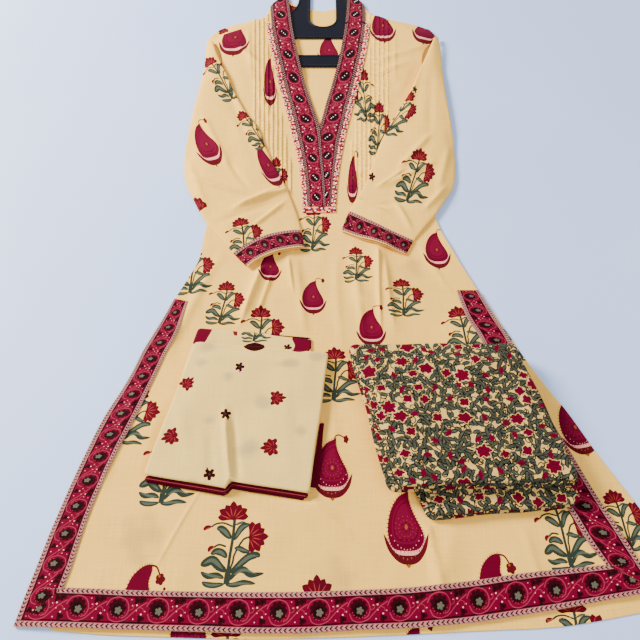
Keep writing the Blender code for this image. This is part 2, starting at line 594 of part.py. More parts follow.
def tube(name, sections, colour):
    """A flattened tube of cloth, open at both ends, lying on what is under it.

    Each section is (outer edge, inner fold, bow of the middle up the sleeve, height of the hollow).
    """
    shares = [0.0, 0.035, 0.12, 0.28, 0.5, 0.72, 0.88, 0.965, 1.0]
    verts, ring = [], 4 * len(shares)
    for (outer, inner, bow, hollow) in sections:
        outer, inner = np.array(outer), np.array(inner)
        width = math.hypot(*(inner - outer))
        run = (inner - outer) / width
        up = np.array([-run[1], run[0]]) * (1 if run[0] > 0 else -1)
        loops = {"bottom": [], "top": [], "hollow_low": [], "hollow_high": []}
        for k, share in enumerate(shares):
            edge = k in (0, len(shares) - 1)
            inset = (1 if k == 0 else -1) * WALL * 1.1 if edge else 0.0
            spot = outer + run * width * share + up * bow * 4 * share * (1 - share)
            inner_spot = spot + run * inset
            base = float(lying_over(spot[0], spot[1])[0])
            swell = hollow * math.sin(math.pi * share) ** 0.6 if 0 < share < 1 else 0.0
            rounding = 0.0008 if edge else 0.0
            room = 0.0006 + swell
            loops["bottom"].append((*spot, base + rounding))
            loops["top"].append((*spot, base + 2 * WALL + room - rounding))
            loops["hollow_low"].append((*inner_spot, base + WALL + (0.0001 if edge else 0.0)))
            loops["hollow_high"].append((*inner_spot, base + WALL + room - (0.0001 if edge else 0.0)))
        verts += loops["bottom"] + loops["top"][::-1] + loops["hollow_low"] + loops["hollow_high"][::-1]
    faces = []
    half = ring // 2
    for row in range(len(sections) - 1):
        a, b = row * ring, (row + 1) * ring
        for k in range(half):
            n = (k + 1) % half
            faces += [(a + k, a + n, b + n), (a + k, b + n, b + k)]
            k2, n2 = k + half, n + half
            faces += [(a + k2, b + n2, a + n2), (a + k2, b + k2, b + n2)]
    last = (len(sections) - 1) * ring
    for k in range(half):
        n = (k + 1) % half
        faces += [(k, k + half, n + half), (k, n + half, n)]
        faces += [(last + k, last + n + half, last + k + half), (last + k, last + n, last + n + half)]
    obj = make_object(name, verts, faces, colour, 0.85)
    face_outwards(obj)
    return obj


def face_outwards(obj):
    """Turns the faces out, by the sign of the volume that they enclose."""
    mesh = obj.data
    mesh.calc_loop_triangles()
    spots = np.array([v.co for v in mesh.vertices])
    tris = np.array([t.vertices for t in mesh.loop_triangles])
    a, b, c = spots[tris[:, 0]], spots[tris[:, 1]], spots[tris[:, 2]]
    if np.einsum("ij,ij->i", a, np.cross(b, c)).sum() < 0:
        mesh.flip_normals()


def make_sleeves():
    for name, table, cuff in (("sleeve_left", SLEEVE_LEFT, "cuff_left"),
                              ("sleeve_right", SLEEVE_RIGHT, "cuff_right")):
        rows = list(zip(*(table[key] for key in ("outer_x", "outer_y", "inner_x", "inner_y", "hollow"))))
        bend = CUFFS[cuff]["bow"]
        sections = []
        for number, (ox, oy, ix, iy, hollow) in enumerate(rows):
            share = max(0.0, (number - len(rows) + 5) / 4)
            sections.append(((ox, oy), (ix, iy), bend * share, hollow))
        tube(name, sections, CREAM)


def make_cuffs():
    for name, cuff in CUFFS.items():
        top_o, top_i = np.array(cuff["top_outer"]), np.array(cuff["top_inner"])
        foot_o, foot_i = np.array(cuff["foot_outer"]), np.array(cuff["foot_inner"])
        down_o, down_i = (foot_o - top_o), (foot_i - top_i)
        start_o = top_o + down_o / math.hypot(*down_o) * GAP * 1.4
        start_i = top_i + down_i / math.hypot(*down_i) * GAP * 1.4
        sections = []
        for share in (0.0, 0.5, 1.0):
            outer = tuple(start_o + (foot_o - start_o) * share)
            inner = tuple(start_i + (foot_i - start_i) * share)
            sections.append((outer, inner, cuff["bow"] * (1 - 0.3 * share), 0.0020))
        tube(name, sections, CRIMSON)


def rounded_corners(corners, radius, per_corner, per_side):
    """A four-cornered outline with round corners, clockwise from the first corner."""
    points = []
    corners = [np.array(c, float) for c in corners]
    for k in range(4):
        before, here, after = corners[k - 1], corners[k], corners[(k + 1) % 4]
        into = (before - here) / math.hypot(*(before - here))
        out = (after - here) / math.hypot(*(after - here))
        start, end = here + into * radius, here + out * radius
        for t in np.linspace(0, 1, per_corner):
            points.append((1 - t) ** 2 * start + 2 * t * (1 - t) * here + t * t * end)
        next_start = after + (here - after) / math.hypot(*(here - after)) * radius
        for t in np.linspace(0, 1, per_side + 2)[1:-1]:
            points.append(end + (next_start - end) * t)
    return points


def folded_stack(name, layers, base, crown, radius, colour, per_side=7):
    """Folded cloth as one closed solid with a rounded edge for each layer."""
    rings = []
    rounding = min(LAYER_ROUNDING, 0.3 * radius)
    for number, layer in enumerate(layers):
        outline = rounded_corners(layer["corners"], radius, 3, per_side)
        centre = np.mean(outline, axis=0)
        for height, inset in ((layer["low"], rounding), ((layer["low"] + layer["high"]) / 2, 0.0),
                              (layer["high"], rounding)):
            if number and inset and height == layer["low"]:
                height += 0.0002
            elif inset and height == layer["high"] and number < len(layers) - 1:
                height -= 0.0002
            ring = []
            for k, p in enumerate(outline):
                run = outline[(k + 1) % len(outline)] - outline[k - 1]
                inward = np.array([run[1], -run[0]]) / math.hypot(*run)
                if np.dot(inward, centre - p) < 0:
                    inward = -inward
                spot = p + inward * inset
                ring.append((spot[0], spot[1], base + height))
            rings.append(ring)
    count = len(rings[0])
    verts = [v for ring in rings for v in ring]
    faces = []
    for r in range(len(rings) - 1):
        for k in range(count):
            a, b = r * count + k, r * count + (k + 1) % count
            faces += [(a, b, b + count), (a, b + count, a + count)]
    for ring_number, inner_step in ((0, None), (len(rings) - 1, 0.030)):
        outline = join([(v[0], v[1]) for v in rings[ring_number]])
        extra = []
        if inner_step is not None and crown > 0:
            extra = [tuple(p) for p in inner_points(outline, inner_step, 0.012)]
        plan, held = triangulate([outline], (), extra)
        level = rings[ring_number][0][2]
        index = {}
        for t in held[0]:
            face = []
            for v in t:
                if v not in index:
                    away = [math.hypot(plan[v][0] - x, plan[v][1] - y) for x, y, _ in rings[ring_number]]
                    if min(away) < 1e-6:
                        index[v] = ring_number * count + int(np.argmin(away))
                    else:
                        index[v] = len(verts)
                        depth = float(-outside(outline, *plan[v])[0])
                        verts.append((plan[v][0], plan[v][1], level + crown * float(smooth(depth / 0.035))))
                face.append(index[v])
            faces.append(tuple(face))
    obj = make_object(name, verts, faces, colour, 0.9)
    mend_winding(obj)
    return obj


def mend_winding(obj):
    work = bmesh.new()
    work.from_mesh(obj.data)
    bmesh.ops.recalc_face_normals(work, faces=work.faces)
    work.to_mesh(obj.data)
    work.free()


def make_folded_pieces():
    on_front = 2 * WALL + 2 * GAP
    on_border = on_front + GAP + STRIP_WALL
    folded_stack("trousers_folded", TROUSER_LAYERS, on_border, TROUSER_CROWN, 0.012, LEAF_GREY)
    folded_stack("stole_folded", STOLE_LAYERS, on_front, STOLE_CROWN, 0.006, STOLE_CREAM)
    folded_stack("stole_foot_strip", STOLE_FOOT_STRIP, on_front, 0.0, 0.0024, CRIMSON)
    folded_stack("stole_side_strip", STOLE_SIDE_STRIP, on_front, 0.0, 0.0020, CRIMSON, per_side=3)


make_back()
make_kurta_panels()
make_hanger()
make_sleeves()
make_cuffs()
make_folded_pieces()

corners = np.array([v.co for obj in bpy.data.objects for v in obj.data.vertices])
middle = (corners.min(axis=0) + corners.max(axis=0)) / 2
for obj in bpy.data.objects:
    for vert in obj.data.vertices:
        vert.co.x -= middle[0]
        vert.co.y -= middle[1]
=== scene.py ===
"""A kurta set laid on the floor: the kurta on its hanger, with a folded stole and folded trousers on it."""
import math
import random

import bpy
import numpy as np
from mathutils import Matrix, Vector, noise
from mathutils.bvhtree import BVHTree
from mathutils.geometry import convex_hull_2d, delaunay_2d_cdt


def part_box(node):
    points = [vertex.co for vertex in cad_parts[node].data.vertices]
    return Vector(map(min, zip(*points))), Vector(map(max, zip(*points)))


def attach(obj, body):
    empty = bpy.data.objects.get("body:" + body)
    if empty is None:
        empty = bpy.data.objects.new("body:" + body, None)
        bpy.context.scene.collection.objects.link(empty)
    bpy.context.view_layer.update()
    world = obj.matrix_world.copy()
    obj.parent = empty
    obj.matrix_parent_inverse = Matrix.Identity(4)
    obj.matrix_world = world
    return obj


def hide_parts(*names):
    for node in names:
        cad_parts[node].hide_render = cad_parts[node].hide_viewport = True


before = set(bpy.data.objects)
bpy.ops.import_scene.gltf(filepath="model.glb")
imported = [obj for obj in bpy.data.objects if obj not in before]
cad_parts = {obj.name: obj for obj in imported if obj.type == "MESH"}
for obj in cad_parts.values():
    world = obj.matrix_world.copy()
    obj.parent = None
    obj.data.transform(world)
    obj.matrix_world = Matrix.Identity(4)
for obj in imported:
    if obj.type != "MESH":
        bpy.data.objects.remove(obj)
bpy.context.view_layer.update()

# The floor and the light
# A plain, pale floor of the blue-grey kind that such sets are photographed on.
# Two large soft lamps stand in for the windows of the room.


def dye(red, green, blue):
    """A colour given as screen values from 0 to 255, in the linear values that a shader takes."""
    parts = [c / 255 for c in (red, green, blue)]
    return tuple(c / 12.92 if c <= 0.04045 else ((c + 0.055) / 1.055) ** 2.4 for c in parts)


def new_material(name, colour, roughness):
    """A material with its node tree and its shader."""
    material = bpy.data.materials.new(name)
    material.use_nodes = True
    tree = material.node_tree
    shader = tree.nodes["Principled BSDF"]
    shader.inputs["Base Color"].default_value = (*colour, 1.0)
    shader.inputs["Roughness"].default_value = roughness
    return material, tree, shader


def add_node(tree, kind, inputs=(), **settings):
    """A node with its inputs' values and its settings."""
    node = tree.nodes.new(kind)
    for key, value in settings.items():
        setattr(node, key, value)
    for key, value in dict(inputs).items():
        node.inputs[key].default_value = value
    return node


def wire(tree, *joints):
    """Joins nodes, each joint given as a node, its output, the next node and its input."""
    for source, output, node, entry in joints:
        tree.links.new(source.outputs[output], node.inputs[entry])


def two_tone(tree, dark, light):
    """A ramp from one colour to another."""
    ramp = add_node(tree, "ShaderNodeValToRGB")
    for element, colour in zip(ramp.color_ramp.elements, (dark, light)):
        element.color = (*colour, 1)
    return ramp


def place(name, mesh, material):
    mesh.materials.append(material)
    piece = bpy.data.objects.new(name, mesh)
    bpy.context.collection.objects.link(piece)
    return piece


FLOOR_REACH = 6.0
floor_mesh = bpy.data.meshes.new("floor")
corners = [(x * FLOOR_REACH, y * FLOOR_REACH, 0) for x, y in ((-1, -1), (1, -1), (1, 1), (-1, 1))]
floor_mesh.from_pydata(corners, [], [(0, 1, 2, 3)])
floor_material, tree, shader = new_material("pale_floor", dye(180, 200, 240), 0.60)
cloudy = add_node(tree, "ShaderNodeTexNoise", {"Scale": 3.0, "Detail": 2.0})
tint = two_tone(tree, dye(176, 196, 240), dye(192, 212, 250))
spot = add_node(tree, "ShaderNodeTexCoord")
wire(tree, (spot, "Object", cloudy, "Vector"), (cloudy, "Fac", tint, "Fac"),
     (tint, "Color", shader, "Base Color"))
place("floor", floor_mesh, floor_material)


def lamp(name, spot, target, size, power, colour):
    data = bpy.data.lights.new(name, "AREA")
    data.shape = "DISK"
    data.size = size
    data.energy = power
    data.color = colour
    light = bpy.data.objects.new(name, data)
    light.location = spot
    light.rotation_euler = (Vector(target) - Vector(spot)).to_track_quat("-Z", "Y").to_euler()
    bpy.context.collection.objects.link(light)


lamp("window_light", (-2.30, 0.95, 1.45), (0.0, -0.05, 0.0), 1.0, 262.0, (1.0, 0.97, 0.93))
lamp("room_light", (1.2, -1.3, 2.2), (0.0, -0.1, 0.0), 2.4, 40.0, (0.95, 0.97, 1.0))
world = bpy.data.worlds.new("room")
world.use_nodes = True
world.node_tree.nodes["Background"].inputs["Color"].default_value = (0.90, 0.93, 1.0, 1.0)
world.node_tree.nodes["Background"].inputs["Strength"].default_value = 0.80
bpy.context.scene.world = world

# The camera: held at chest height over the hem, looking down towards the neck
EYE = (-0.0445, -0.6745, 0.7497)
DOWNWARD = math.radians(59)
camera_data = bpy.data.cameras.new("camera")
camera_data.sensor_width = 36.0
camera_data.lens = 33.75
camera = bpy.data.objects.new("camera", camera_data)
camera.location = EYE
camera.rotation_euler = (math.pi / 2 - DOWNWARD, 0.0, 0.0)
bpy.context.collection.objects.link(camera)
bpy.context.scene.camera = camera

# The kurta's back
# One panel of slub cotton, block printed, cut like the front and a little longer at the hem.
# It lies under everything else and shows in the neck, below the hem and along the right side.
COTTON = 0.0012


def smooth(t):
    """Rises from 0 to 1 as t goes from 0 to 1, level at both ends."""
    t = np.clip(t, 0.0, 1.0)
    return t * t * (3.0 - 2.0 * t)


def ordered(edges):
    """Closed loops of point numbers from directed edges."""
    following = {}
    for a, b in edges:
        following.setdefault(a, []).append(b)
    loops = []
    while following:
        start = next(iter(following))
        loop, here = [start], following[start].pop()
        while here != start:
            loop.append(here)
            step = following[here].pop()
            if not following[here]:
                del following[here]
            here = step
        if not following[start]:
            del following[start]
        loops.append(loop)
    return loops


def single_edges(triangles):
    edges = {(t[k], t[(k + 1) % 3]) for t in triangles for k in range(3)}
    return [(a, b) for a, b in edges if (b, a) not in edges]


def signed_area(points):
    p = np.asarray(points, float)
    q = np.roll(p, -1, axis=0)
    return 0.5 * float((p[:, 0] * q[:, 1] - q[:, 0] * p[:, 1]).sum())


def node_outlines(name, steep=0.45):
    """The outlines, seen from above, of a solid's upper side: the longest first."""
    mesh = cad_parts[name].data
    mesh.calc_loop_triangles()
    field = BVHTree.FromPolygons([v.co for v in mesh.vertices], [t.vertices[:] for t in mesh.loop_triangles])
    number, points, triangles = {}, [], []
    for tri in mesh.loop_triangles:
        above = sum((mesh.vertices[v].co for v in tri.vertices), Vector()) / 3 + Vector((0, 0, 1e-5))
        if tri.normal.z < steep or field.ray_cast(above, Vector((0, 0, 1)))[0] is not None:
            continue
        face = []
        for v in tri.vertices:
            co = mesh.vertices[v].co
            key = (round(co.x, 5), round(co.y, 5))
            if key not in number:
                number[key] = len(points)
                points.append(key)
            face.append(number[key])
        if len(set(face)) == 3:
            triangles.append(face)
    loops = [np.array([points[k] for k in loop]) for loop in ordered(single_edges(triangles))]
    loops.sort(key=lambda loop: -abs(signed_area(loop)))
    return loops


def turning(points):
    """How sharply a closed run of points turns at each point, in degrees."""
    before = points - np.roll(points, 1, axis=0)
    after = np.roll(points, -1, axis=0) - points
    cross = before[:, 0] * after[:, 1] - before[:, 1] * after[:, 0]
    return np.degrees(np.abs(np.arctan2(cross, (before * after).sum(axis=1))))


def rounded_off(points, step, corner=24.0):
    """A closed outline drawn smoothly through its points, apart from its corners."""
    points = np.asarray(points, float)
    sharp = turning(points) > corner
    count, out = len(points), []

    def pull(k, chord, across):
        """Which way the line leaves a point: straight along the chord at a corner."""
        if sharp[k % count]:
            return chord
        return across * 0.5 * min(1.0, 2 * float(np.hypot(*chord)) / max(1e-9, np.hypot(*across)))

    for k in range(count):
        before, a, b, after = points[k - 1], points[k], points[(k + 1) % count], points[(k + 2) % count]
        into, out_of = pull(k, b - a, b - before), pull(k + 1, b - a, after - a)
        for t in np.arange(0, 1, 1 / max(1, round(float(np.hypot(*(b - a))) / step))):
            out.append((2 * t ** 3 - 3 * t ** 2 + 1) * a + (t ** 3 - 2 * t ** 2 + t) * into
                       + (-2 * t ** 3 + 3 * t ** 2) * b + (t ** 3 - t ** 2) * out_of)
    return np.array(out)


def from_segments(points, a, b):
    """The distance from each point to the nearest of the segments from a to b."""
    (ax, ay), (ex, ey) = a.T, (b - a).T
    size = np.maximum(ex * ex + ey * ey, 1e-18)
    away = np.empty(len(points))
    for start in range(0, len(points), 4000):
        px = points[start:start + 4000, 0, None] - ax
        py = points[start:start + 4000, 1, None] - ay
        t = np.clip((px * ex + py * ey) / size, 0, 1)
        away[start:start + 4000] = np.hypot(px - t * ex, py - t * ey).min(axis=1)
    return away


def outside(outline, x, y):
    """Signed distance from an outline: positive outside it."""
    a = np.asarray(outline, float)
    b = np.roll(a, -1, axis=0)
    away = from_segments(np.column_stack([x, y]), a, b)
    inside = np.zeros(len(away), bool)
    for (ax, ay), (bx, by) in zip(a, b):
        if ay != by:
            inside ^= ((ay > y) != (by > y)) & (x - ax < (y - ay) * (bx - ax) / (by - ay))
    return np.where(inside, -away, away)


def leftward(ahead):
    """Unit vectors to the left of the given directions."""
    size = np.maximum(np.hypot(ahead[:, 0], ahead[:, 1]), 1e-9)
    return np.column_stack([-ahead[:, 1], ahead[:, 0]]) / size[:, None]


def inset(outline, by):
    """A closed outline moved inwards."""
    normal = leftward(np.roll(outline, -1, axis=0) - np.roll(outline, 1, axis=0))
    return outline + (normal if signed_area(outline) >= 0 else -normal) * by


def relief(name, from_below=False, pitch=0.004, blur=2):
    """The height of a solid's upper or lower side as a smooth function of x and y."""
    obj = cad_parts[name]
    low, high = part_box(name)
    polygons = [p.vertices[:] for p in obj.data.polygons]
    field = BVHTree.FromPolygons([v.co for v in obj.data.vertices], polygons)
    margin = 6 * pitch
    xs = np.arange(low.x - margin, high.x + margin, pitch)
    ys = np.arange(low.y - margin, high.y + margin, pitch)
    start, ray = (low.z - 0.01, Vector((0, 0, 1))) if from_below else (high.z + 0.01, Vector((0, 0, -1)))
    grid = np.full((len(ys), len(xs)), np.nan)
    for r, y in enumerate(ys):
        for c, x in enumerate(xs):
            spot = field.ray_cast(Vector((x, y, start)), ray)[0]
            if spot is not None:
                grid[r, c] = spot.z
    for _ in range(10):
        known = ~np.isnan(grid)
        filled = np.where(known, grid, 0.0)
        total, count = np.zeros_like(grid), np.zeros_like(grid)
        for dr, dc in ((0, 1), (0, -1), (1, 0), (-1, 0)):
            total += np.roll(filled, (dr, dc), (0, 1))
            count += np.roll(known, (dr, dc), (0, 1))
        grid = np.where(known, grid, np.where(count > 0, total / np.maximum(count, 1), np.nan))
    grid = np.where(np.isnan(grid), np.nanmean(grid), grid)
    for _ in range(blur):
        grid = (np.roll(grid, 1, 0) + 2 * grid + np.roll(grid, -1, 0)) / 4
        grid = (np.roll(grid, 1, 1) + 2 * grid + np.roll(grid, -1, 1)) / 4

    def height(x, y):
        u = np.clip((np.asarray(x) - xs[0]) / pitch, 1, len(xs) - 2.001)
        v = np.clip((np.asarray(y) - ys[0]) / pitch, 1, len(ys) - 2.001)
        c, r = u.astype(int), v.astype(int)
        fu, fv = u - c, v - r
        return ((grid[r, c] * (1 - fu) + grid[r, c + 1] * fu) * (1 - fv)
                + (grid[r + 1, c] * (1 - fu) + grid[r + 1, c + 1] * fu) * fv)
    return height


def staggered(outline, step, margin):
    """Points in staggered rows inside an outline."""
    low, high = outline.min(axis=0), outline.max(axis=0)
    rows = np.arange(low[1] + step / 2, high[1], step * 0.87)
    grid = np.array([(x + (step / 2 if k % 2 else 0), y)
                     for k, y in enumerate(rows) for x in np.arange(low[0], high[0], step)])
    if not len(grid):
        return grid.reshape(0, 2)
    return grid[outside(outline, grid[:, 0], grid[:, 1]) < -margin]


def cut_out(outline, shapes=(), step=0.008, rings=(), lines=(), holes=(), extra=()):
    """Cuts a panel in plan. Gives its points, its triangles and the number of the shape printed on each.

    The last shape that covers a triangle is the one that shows, and -1 is the bare ground.
    """
    points, faces, edges = [], [], []

    def add_face(loop):
        loop = np.asarray(loop, float)
        if signed_area(loop) < 0:
            loop = loop[::-1]
        faces.append(list(range(len(points), len(points) + len(loop))))
        points.extend(Vector(p) for p in loop)

    def add_run(line, count):
        edges.extend((len(points) + k, len(points) + (k + 1) % len(line)) for k in range(count))
        points.extend(Vector(p) for p in line)

    for loop in (outline, *holes, *shapes):
        add_face(loop)
    for line in lines:
        add_run(line, len(line) - 1)
    for ring in rings:
        add_run(ring, len(ring))
    for spots in (staggered(outline, step, step * 0.5), extra):
        points.extend(Vector(p) for p in spots)
    kept, prints = [], []
    first = 1 + len(holes)
    drawn = np.array([abs(signed_area([points[k] for k in face])) for face in faces])
    # A shape that crosses itself can spill over the panel: it is cut again a hair beside, and else left out
    for shift in (0.00004, 0.00007, 0.0):
        verts, _, tris, _, _, owners = delaunay_2d_cdt(points, edges, faces, 0, 1e-7, True)
        corner = np.array([(v.x, v.y) for v in verts])
        a, b, c = (corner[[t[k] for t in tris]] for k in range(3))
        (ux, uy), (vx, vy) = (b - a).T, (c - a).T
        sizes = np.abs(ux * vy - vx * uy) / 2
        covered = np.zeros(len(faces))
        for size, own in zip(sizes, owners):
            covered[own] += size
        spilt = set(np.nonzero(covered > drawn * 1.5 + 1e-7)[0].tolist())
        if not spilt:
            break
        for face in spilt:
            for k in faces[face]:
                points[k] = points[k] + Vector((shift, -shift))
    for tri, own in zip(tris, owners):
        own = [k for k in own if k not in spilt]
        if 0 in own and not any(0 < k < first for k in own):
            kept.append(tuple(tri))
            prints.append(max(own) - first if max(own) >= first else -1)
    used = sorted({v for t in kept for v in t})
    number = {v: k for k, v in enumerate(used)}
    plan = np.array([(verts[v].x, verts[v].y) for v in used])
    return plan, [tuple(number[v] for v in t) for t in kept], prints


def quarter_circle(t):
    """Rises from 0 to 1 as t goes from 0 to 1, steep at first and level at the end."""
    return np.sqrt(np.maximum(0.0, 1 - (1 - np.clip(t, 0, 1)) ** 2))


def rim_roll(plan, triangles, reach):
    """For each point, 0 at the rim of a panel rising to 1 at the given reach inside it."""
    a, b = (plan[list(ends)] for ends in zip(*single_edges(triangles)))
    away = np.full(len(plan), 1.0)
    for start in range(0, len(plan), 1500):
        block = plan[start:start + 1500]
        near = ((np.minimum(a, b) <= block.max(axis=0) + reach)
                & (np.maximum(a, b) >= block.min(axis=0) - reach)).all(axis=1)
        if near.any():
            away[start:start + 1500] = from_segments(block, a[near], b[near])
    return quarter_circle(away / reach)


def painted_mesh(name, verts, faces, colours, shade=None):
    """A mesh whose faces carry the print's colours, and its points how strongly the layer below shows."""
    mesh = bpy.data.meshes.new(name)
    mesh.from_pydata([tuple(v) for v in verts], [], faces)
    mesh.update()
    layer = mesh.color_attributes.new("print", "FLOAT_COLOR", "CORNER")
    sizes = [len(f) for f in faces]
    values = np.repeat(np.column_stack([colours, np.ones(len(faces))]), sizes, axis=0)
    layer.data.foreach_set("color", values.astype(np.float32).ravel())
    if shade is not None:
        tone = mesh.attributes.new("shade", "FLOAT", "POINT")
        tone.data.foreach_set("value", np.asarray(shade, np.float32))
    mesh.shade_smooth()
    return mesh


def underside(verts, plan, loops, step, margin, depth, open_rim=()):
    """A panel's underside: it shares the rim's points, except on an open rim, and adds its own to verts."""
    rim = [int(v) for loop in loops for v in loop]
    rings, first = [], 0
    for loop in loops:
        ring = list(range(first, first + len(loop)))
        rings.append(ring if signed_area(plan[loop]) > 0 else ring[::-1])
        first += len(loop)
    points = [*plan[rim], *staggered(plan[loops[0]], step, margin)]
    found, _, tris, origins, _, owners = delaunay_2d_cdt(list(map(Vector, points)), [], rings, 0, 1e-9, True)
    number = {}
    for k, source in enumerate(origins):
        match = [s for s in source if s < len(rim)]
        if match and rim[match[0]] not in open_rim:
            number[k] = rim[match[0]]
    own_points = [k for k in range(len(found)) if k not in number]
    if own_points:
        x, y = np.array([found[k] for k in own_points]).T
        number.update((k, len(verts) + n) for n, k in enumerate(own_points))
        verts += [tuple(v) for v in np.column_stack([x, y, depth(x, y)])]
    return [tuple(number[v] for v in tri[::-1]) for tri, own in zip(tris, owners) if list(own) == [0]]


def panel_mesh(name, plan, triangles, colours, top, thick, ground, shade=None, bottom=None, under_step=0.03,
               level=None, reach=0.003, waist=None):
    """A closed thin panel: the printed upper side, a rolled rim and a plain underside.

    The underside lies one thickness below the level, the upper side without its creases, or at the bottom.
    """
    level = level or top

    def under(x, y):
        return level(x, y) - thick if bottom is None else bottom(x, y)

    roll = rim_roll(plan, triangles, thick / 2 if bottom is None else reach)
    high, low = top(*plan.T), under(*plan.T)
    middle = (high + low) / 2 if waist is None else waist
    verts = [tuple(v) for v in np.column_stack([plan, middle + (high - middle) * roll])]
    loops = sorted(ordered(single_edges(triangles)), key=lambda loop: -abs(signed_area(plan[loop])))
    faces = [tuple(t) for t in triangles]
    faces += underside(verts, plan, loops, under_step, min(0.01, under_step * 0.4), under)
    inks = np.concatenate([colours, np.tile(ground, (len(faces) - len(colours), 1))])
    if shade is not None:
        shade = np.concatenate([shade, np.zeros(len(verts) - len(shade))])
    return painted_mesh(name, verts, faces, inks, shade)


CREAM = dye(243, 188, 82)
CRIMSON = dye(88, 0, 27)
CRIMSON_FIELD = dye(100, 4, 37)
BOAT = dye(80, 8, 18)
PALE_PINK = dye(232, 150, 134)
LEAF = dye(40, 48, 38)
LEAF_LIGHT = dye(74, 82, 66)
LOTUS = dye(84, 3, 20)
LOTUS_LINE = dye(158, 56, 42)
AMBER = dye(135, 75, 24)
MAROON = dye(42, 0, 6)
GHOST = dye(208, 212, 250)


def spline(a, b, c, d, per):
    """Points from b on towards c, on the smooth line that runs through all four."""
    square, cube = 2 * a - 5 * b + 4 * c - d, 3 * b - a - 3 * c + d
    return [0.5 * (2 * b + (c - a) * t + square * t ** 2 + cube * t ** 3) for t in np.arange(per) / per]


def loop_through(points, per=4):
    """A smooth closed shape through a few points."""
    p = np.asarray(points, float)
    ahead = [np.roll(p, -k, axis=0) for k in (-1, 0, 1, 2)]
    return np.array([spot for four in zip(*ahead) for spot in spline(*four, per)])


def run_through(points, per=5):
    """A smooth open line through a few points."""
    p = np.asarray(points, float)
    p = np.concatenate([[2 * p[0] - p[1]], p, [2 * p[-1] - p[-2]]])
    return np.array([spot for k in range(1, len(p) - 2) for spot in spline(*p[k - 1:k + 3], per)] + [p[-2]])


def brush(points, width, per=5, swell=None):
    """A brush stroke along a smooth line, of one width or swelling and tapering along it."""
    line = run_through(points, per)
    share = np.ones(len(line)) if swell is None else swell(np.linspace(0, 1, len(line)))
    half = leftward(np.gradient(line, axis=0)) * (width / 2 * share)[:, None]
    return np.concatenate([line + half, (line - half)[::-1]])


def swelling(least, skew, power):
    return lambda t: np.maximum(least, np.sin(math.pi * t ** skew) ** power)


leaf_like = swelling(0.16, 0.94, 0.45)
petal_like = swelling(0.04, 0.8, 0.9)
blunt = swelling(0.10, 1.5, 0.75)


def off(x, y, length, angle):
    """The spot at a length and an angle from x and y."""
    return x + length * math.cos(angle), y + length * math.sin(angle)


def dot(x, y, radius, sides=7):
    turns = np.arange(sides) * math.tau / sides
    return np.column_stack([x + radius * np.cos(turns), y + radius * np.sin(turns)])


def scallop(x, y, radius, lobes, depth=0.18, per=4, turn=0.0):
    turns = np.arange(lobes * per) * math.tau / (lobes * per) + turn
    size = radius * (1 - depth + depth * np.abs(np.cos(turns * lobes / 2)) ** 0.6 * 1.4)
    return np.column_stack([x + size * np.cos(turns), y + size * np.sin(turns)])


def lotus(x, y, size, turn=0.0, petals=7, spread=80):
    """A lotus head in profile: dark red petals fanned out from its base, with paler lines between them."""
    shapes = []
    middle = (petals - 1) / 2
    for k in sorted(range(petals), key=lambda k: -abs(k - middle)):
        lean = (k - middle) / middle
        angle = math.radians(90 + turn - lean * spread)
        length = size * (1.0 - 0.14 * abs(lean) + 0.07 * (k % 2))
        bend = off(x, y, 0.55 * length, angle + math.radians(10 * lean))
        shapes.append((LOTUS, brush([(x, y), bend, off(x, y, length, angle)], size * 0.42, 4, blunt)))
    for k in range(petals - 1):
        angle = math.radians(90 + turn - (k + 0.5 - middle) / middle * spread)
        line = [off(x, y, share * size, angle) for share in (0.16, 0.80 - 0.1 * (k % 2))]
        shapes.append((LOTUS_LINE, brush(line, size * 0.048, 3, petal_like)))
    return shapes


# The plant's leaves in heights of the plant, each from its stalk to its tip, with its greatest width
PLANT_LEAVES = [
    ([(-0.018, 0.210), (0.050, 0.241), (0.109, 0.246)], 0.026),
    ([(-0.014, 0.033), (0.041, 0.151), (0.090, 0.200), (0.163, 0.222)], 0.072),
    ([(-0.054, 0.052), (-0.113, 0.115), (-0.176, 0.169), (-0.231, 0.174)], 0.084),
    ([(-0.086, -0.166), (-0.140, -0.111), (-0.213, -0.093), (-0.276, -0.125)], 0.078),
    ([(-0.005, -0.057), (0.059, -0.062), (0.113, -0.089), (0.176, -0.098)], 0.060),
    ([(-0.077, -0.319), (-0.167, -0.265), (-0.249, -0.193), (-0.330, -0.226), (-0.380, -0.252)], 0.098),
    ([(-0.041, -0.338), (0.068, -0.238), (0.167, -0.157), (0.258, -0.134), (0.294, -0.157)], 0.080),
    ([(-0.104, -0.392), (-0.186, -0.360), (-0.294, -0.369), (-0.371, -0.324)], 0.064),
    ([(-0.041, -0.419), (0.041, -0.310), (0.122, -0.301), (0.204, -0.356), (0.348, -0.338)], 0.070),
    ([(-0.095, -0.455), (-0.204, -0.469), (-0.294, -0.460), (-0.348, -0.433)], 0.060),
    ([(-0.077, -0.464), (0.023, -0.464), (0.131, -0.437), (0.258, -0.451)], 0.058),
]
PLANT_STALKS = [
    ([(-0.072, -0.446), (-0.054, -0.166), (-0.036, 0.015), (-0.027, 0.196), (-0.027, 0.290)], 0.036),
    ([(-0.070, -0.460), (-0.062, -0.330)], 0.070),
    ([(-0.050, -0.330), (-0.014, -0.211), (0.000, -0.129), (0.086, 0.033), (0.163, 0.074)], 0.024),
    ([(-0.045, 0.196), (-0.149, 0.237), (-0.240, 0.228), (-0.294, 0.192)], 0.022),
    ([(-0.104, -0.039), (-0.186, -0.016), (-0.249, -0.048)], 0.024),
]


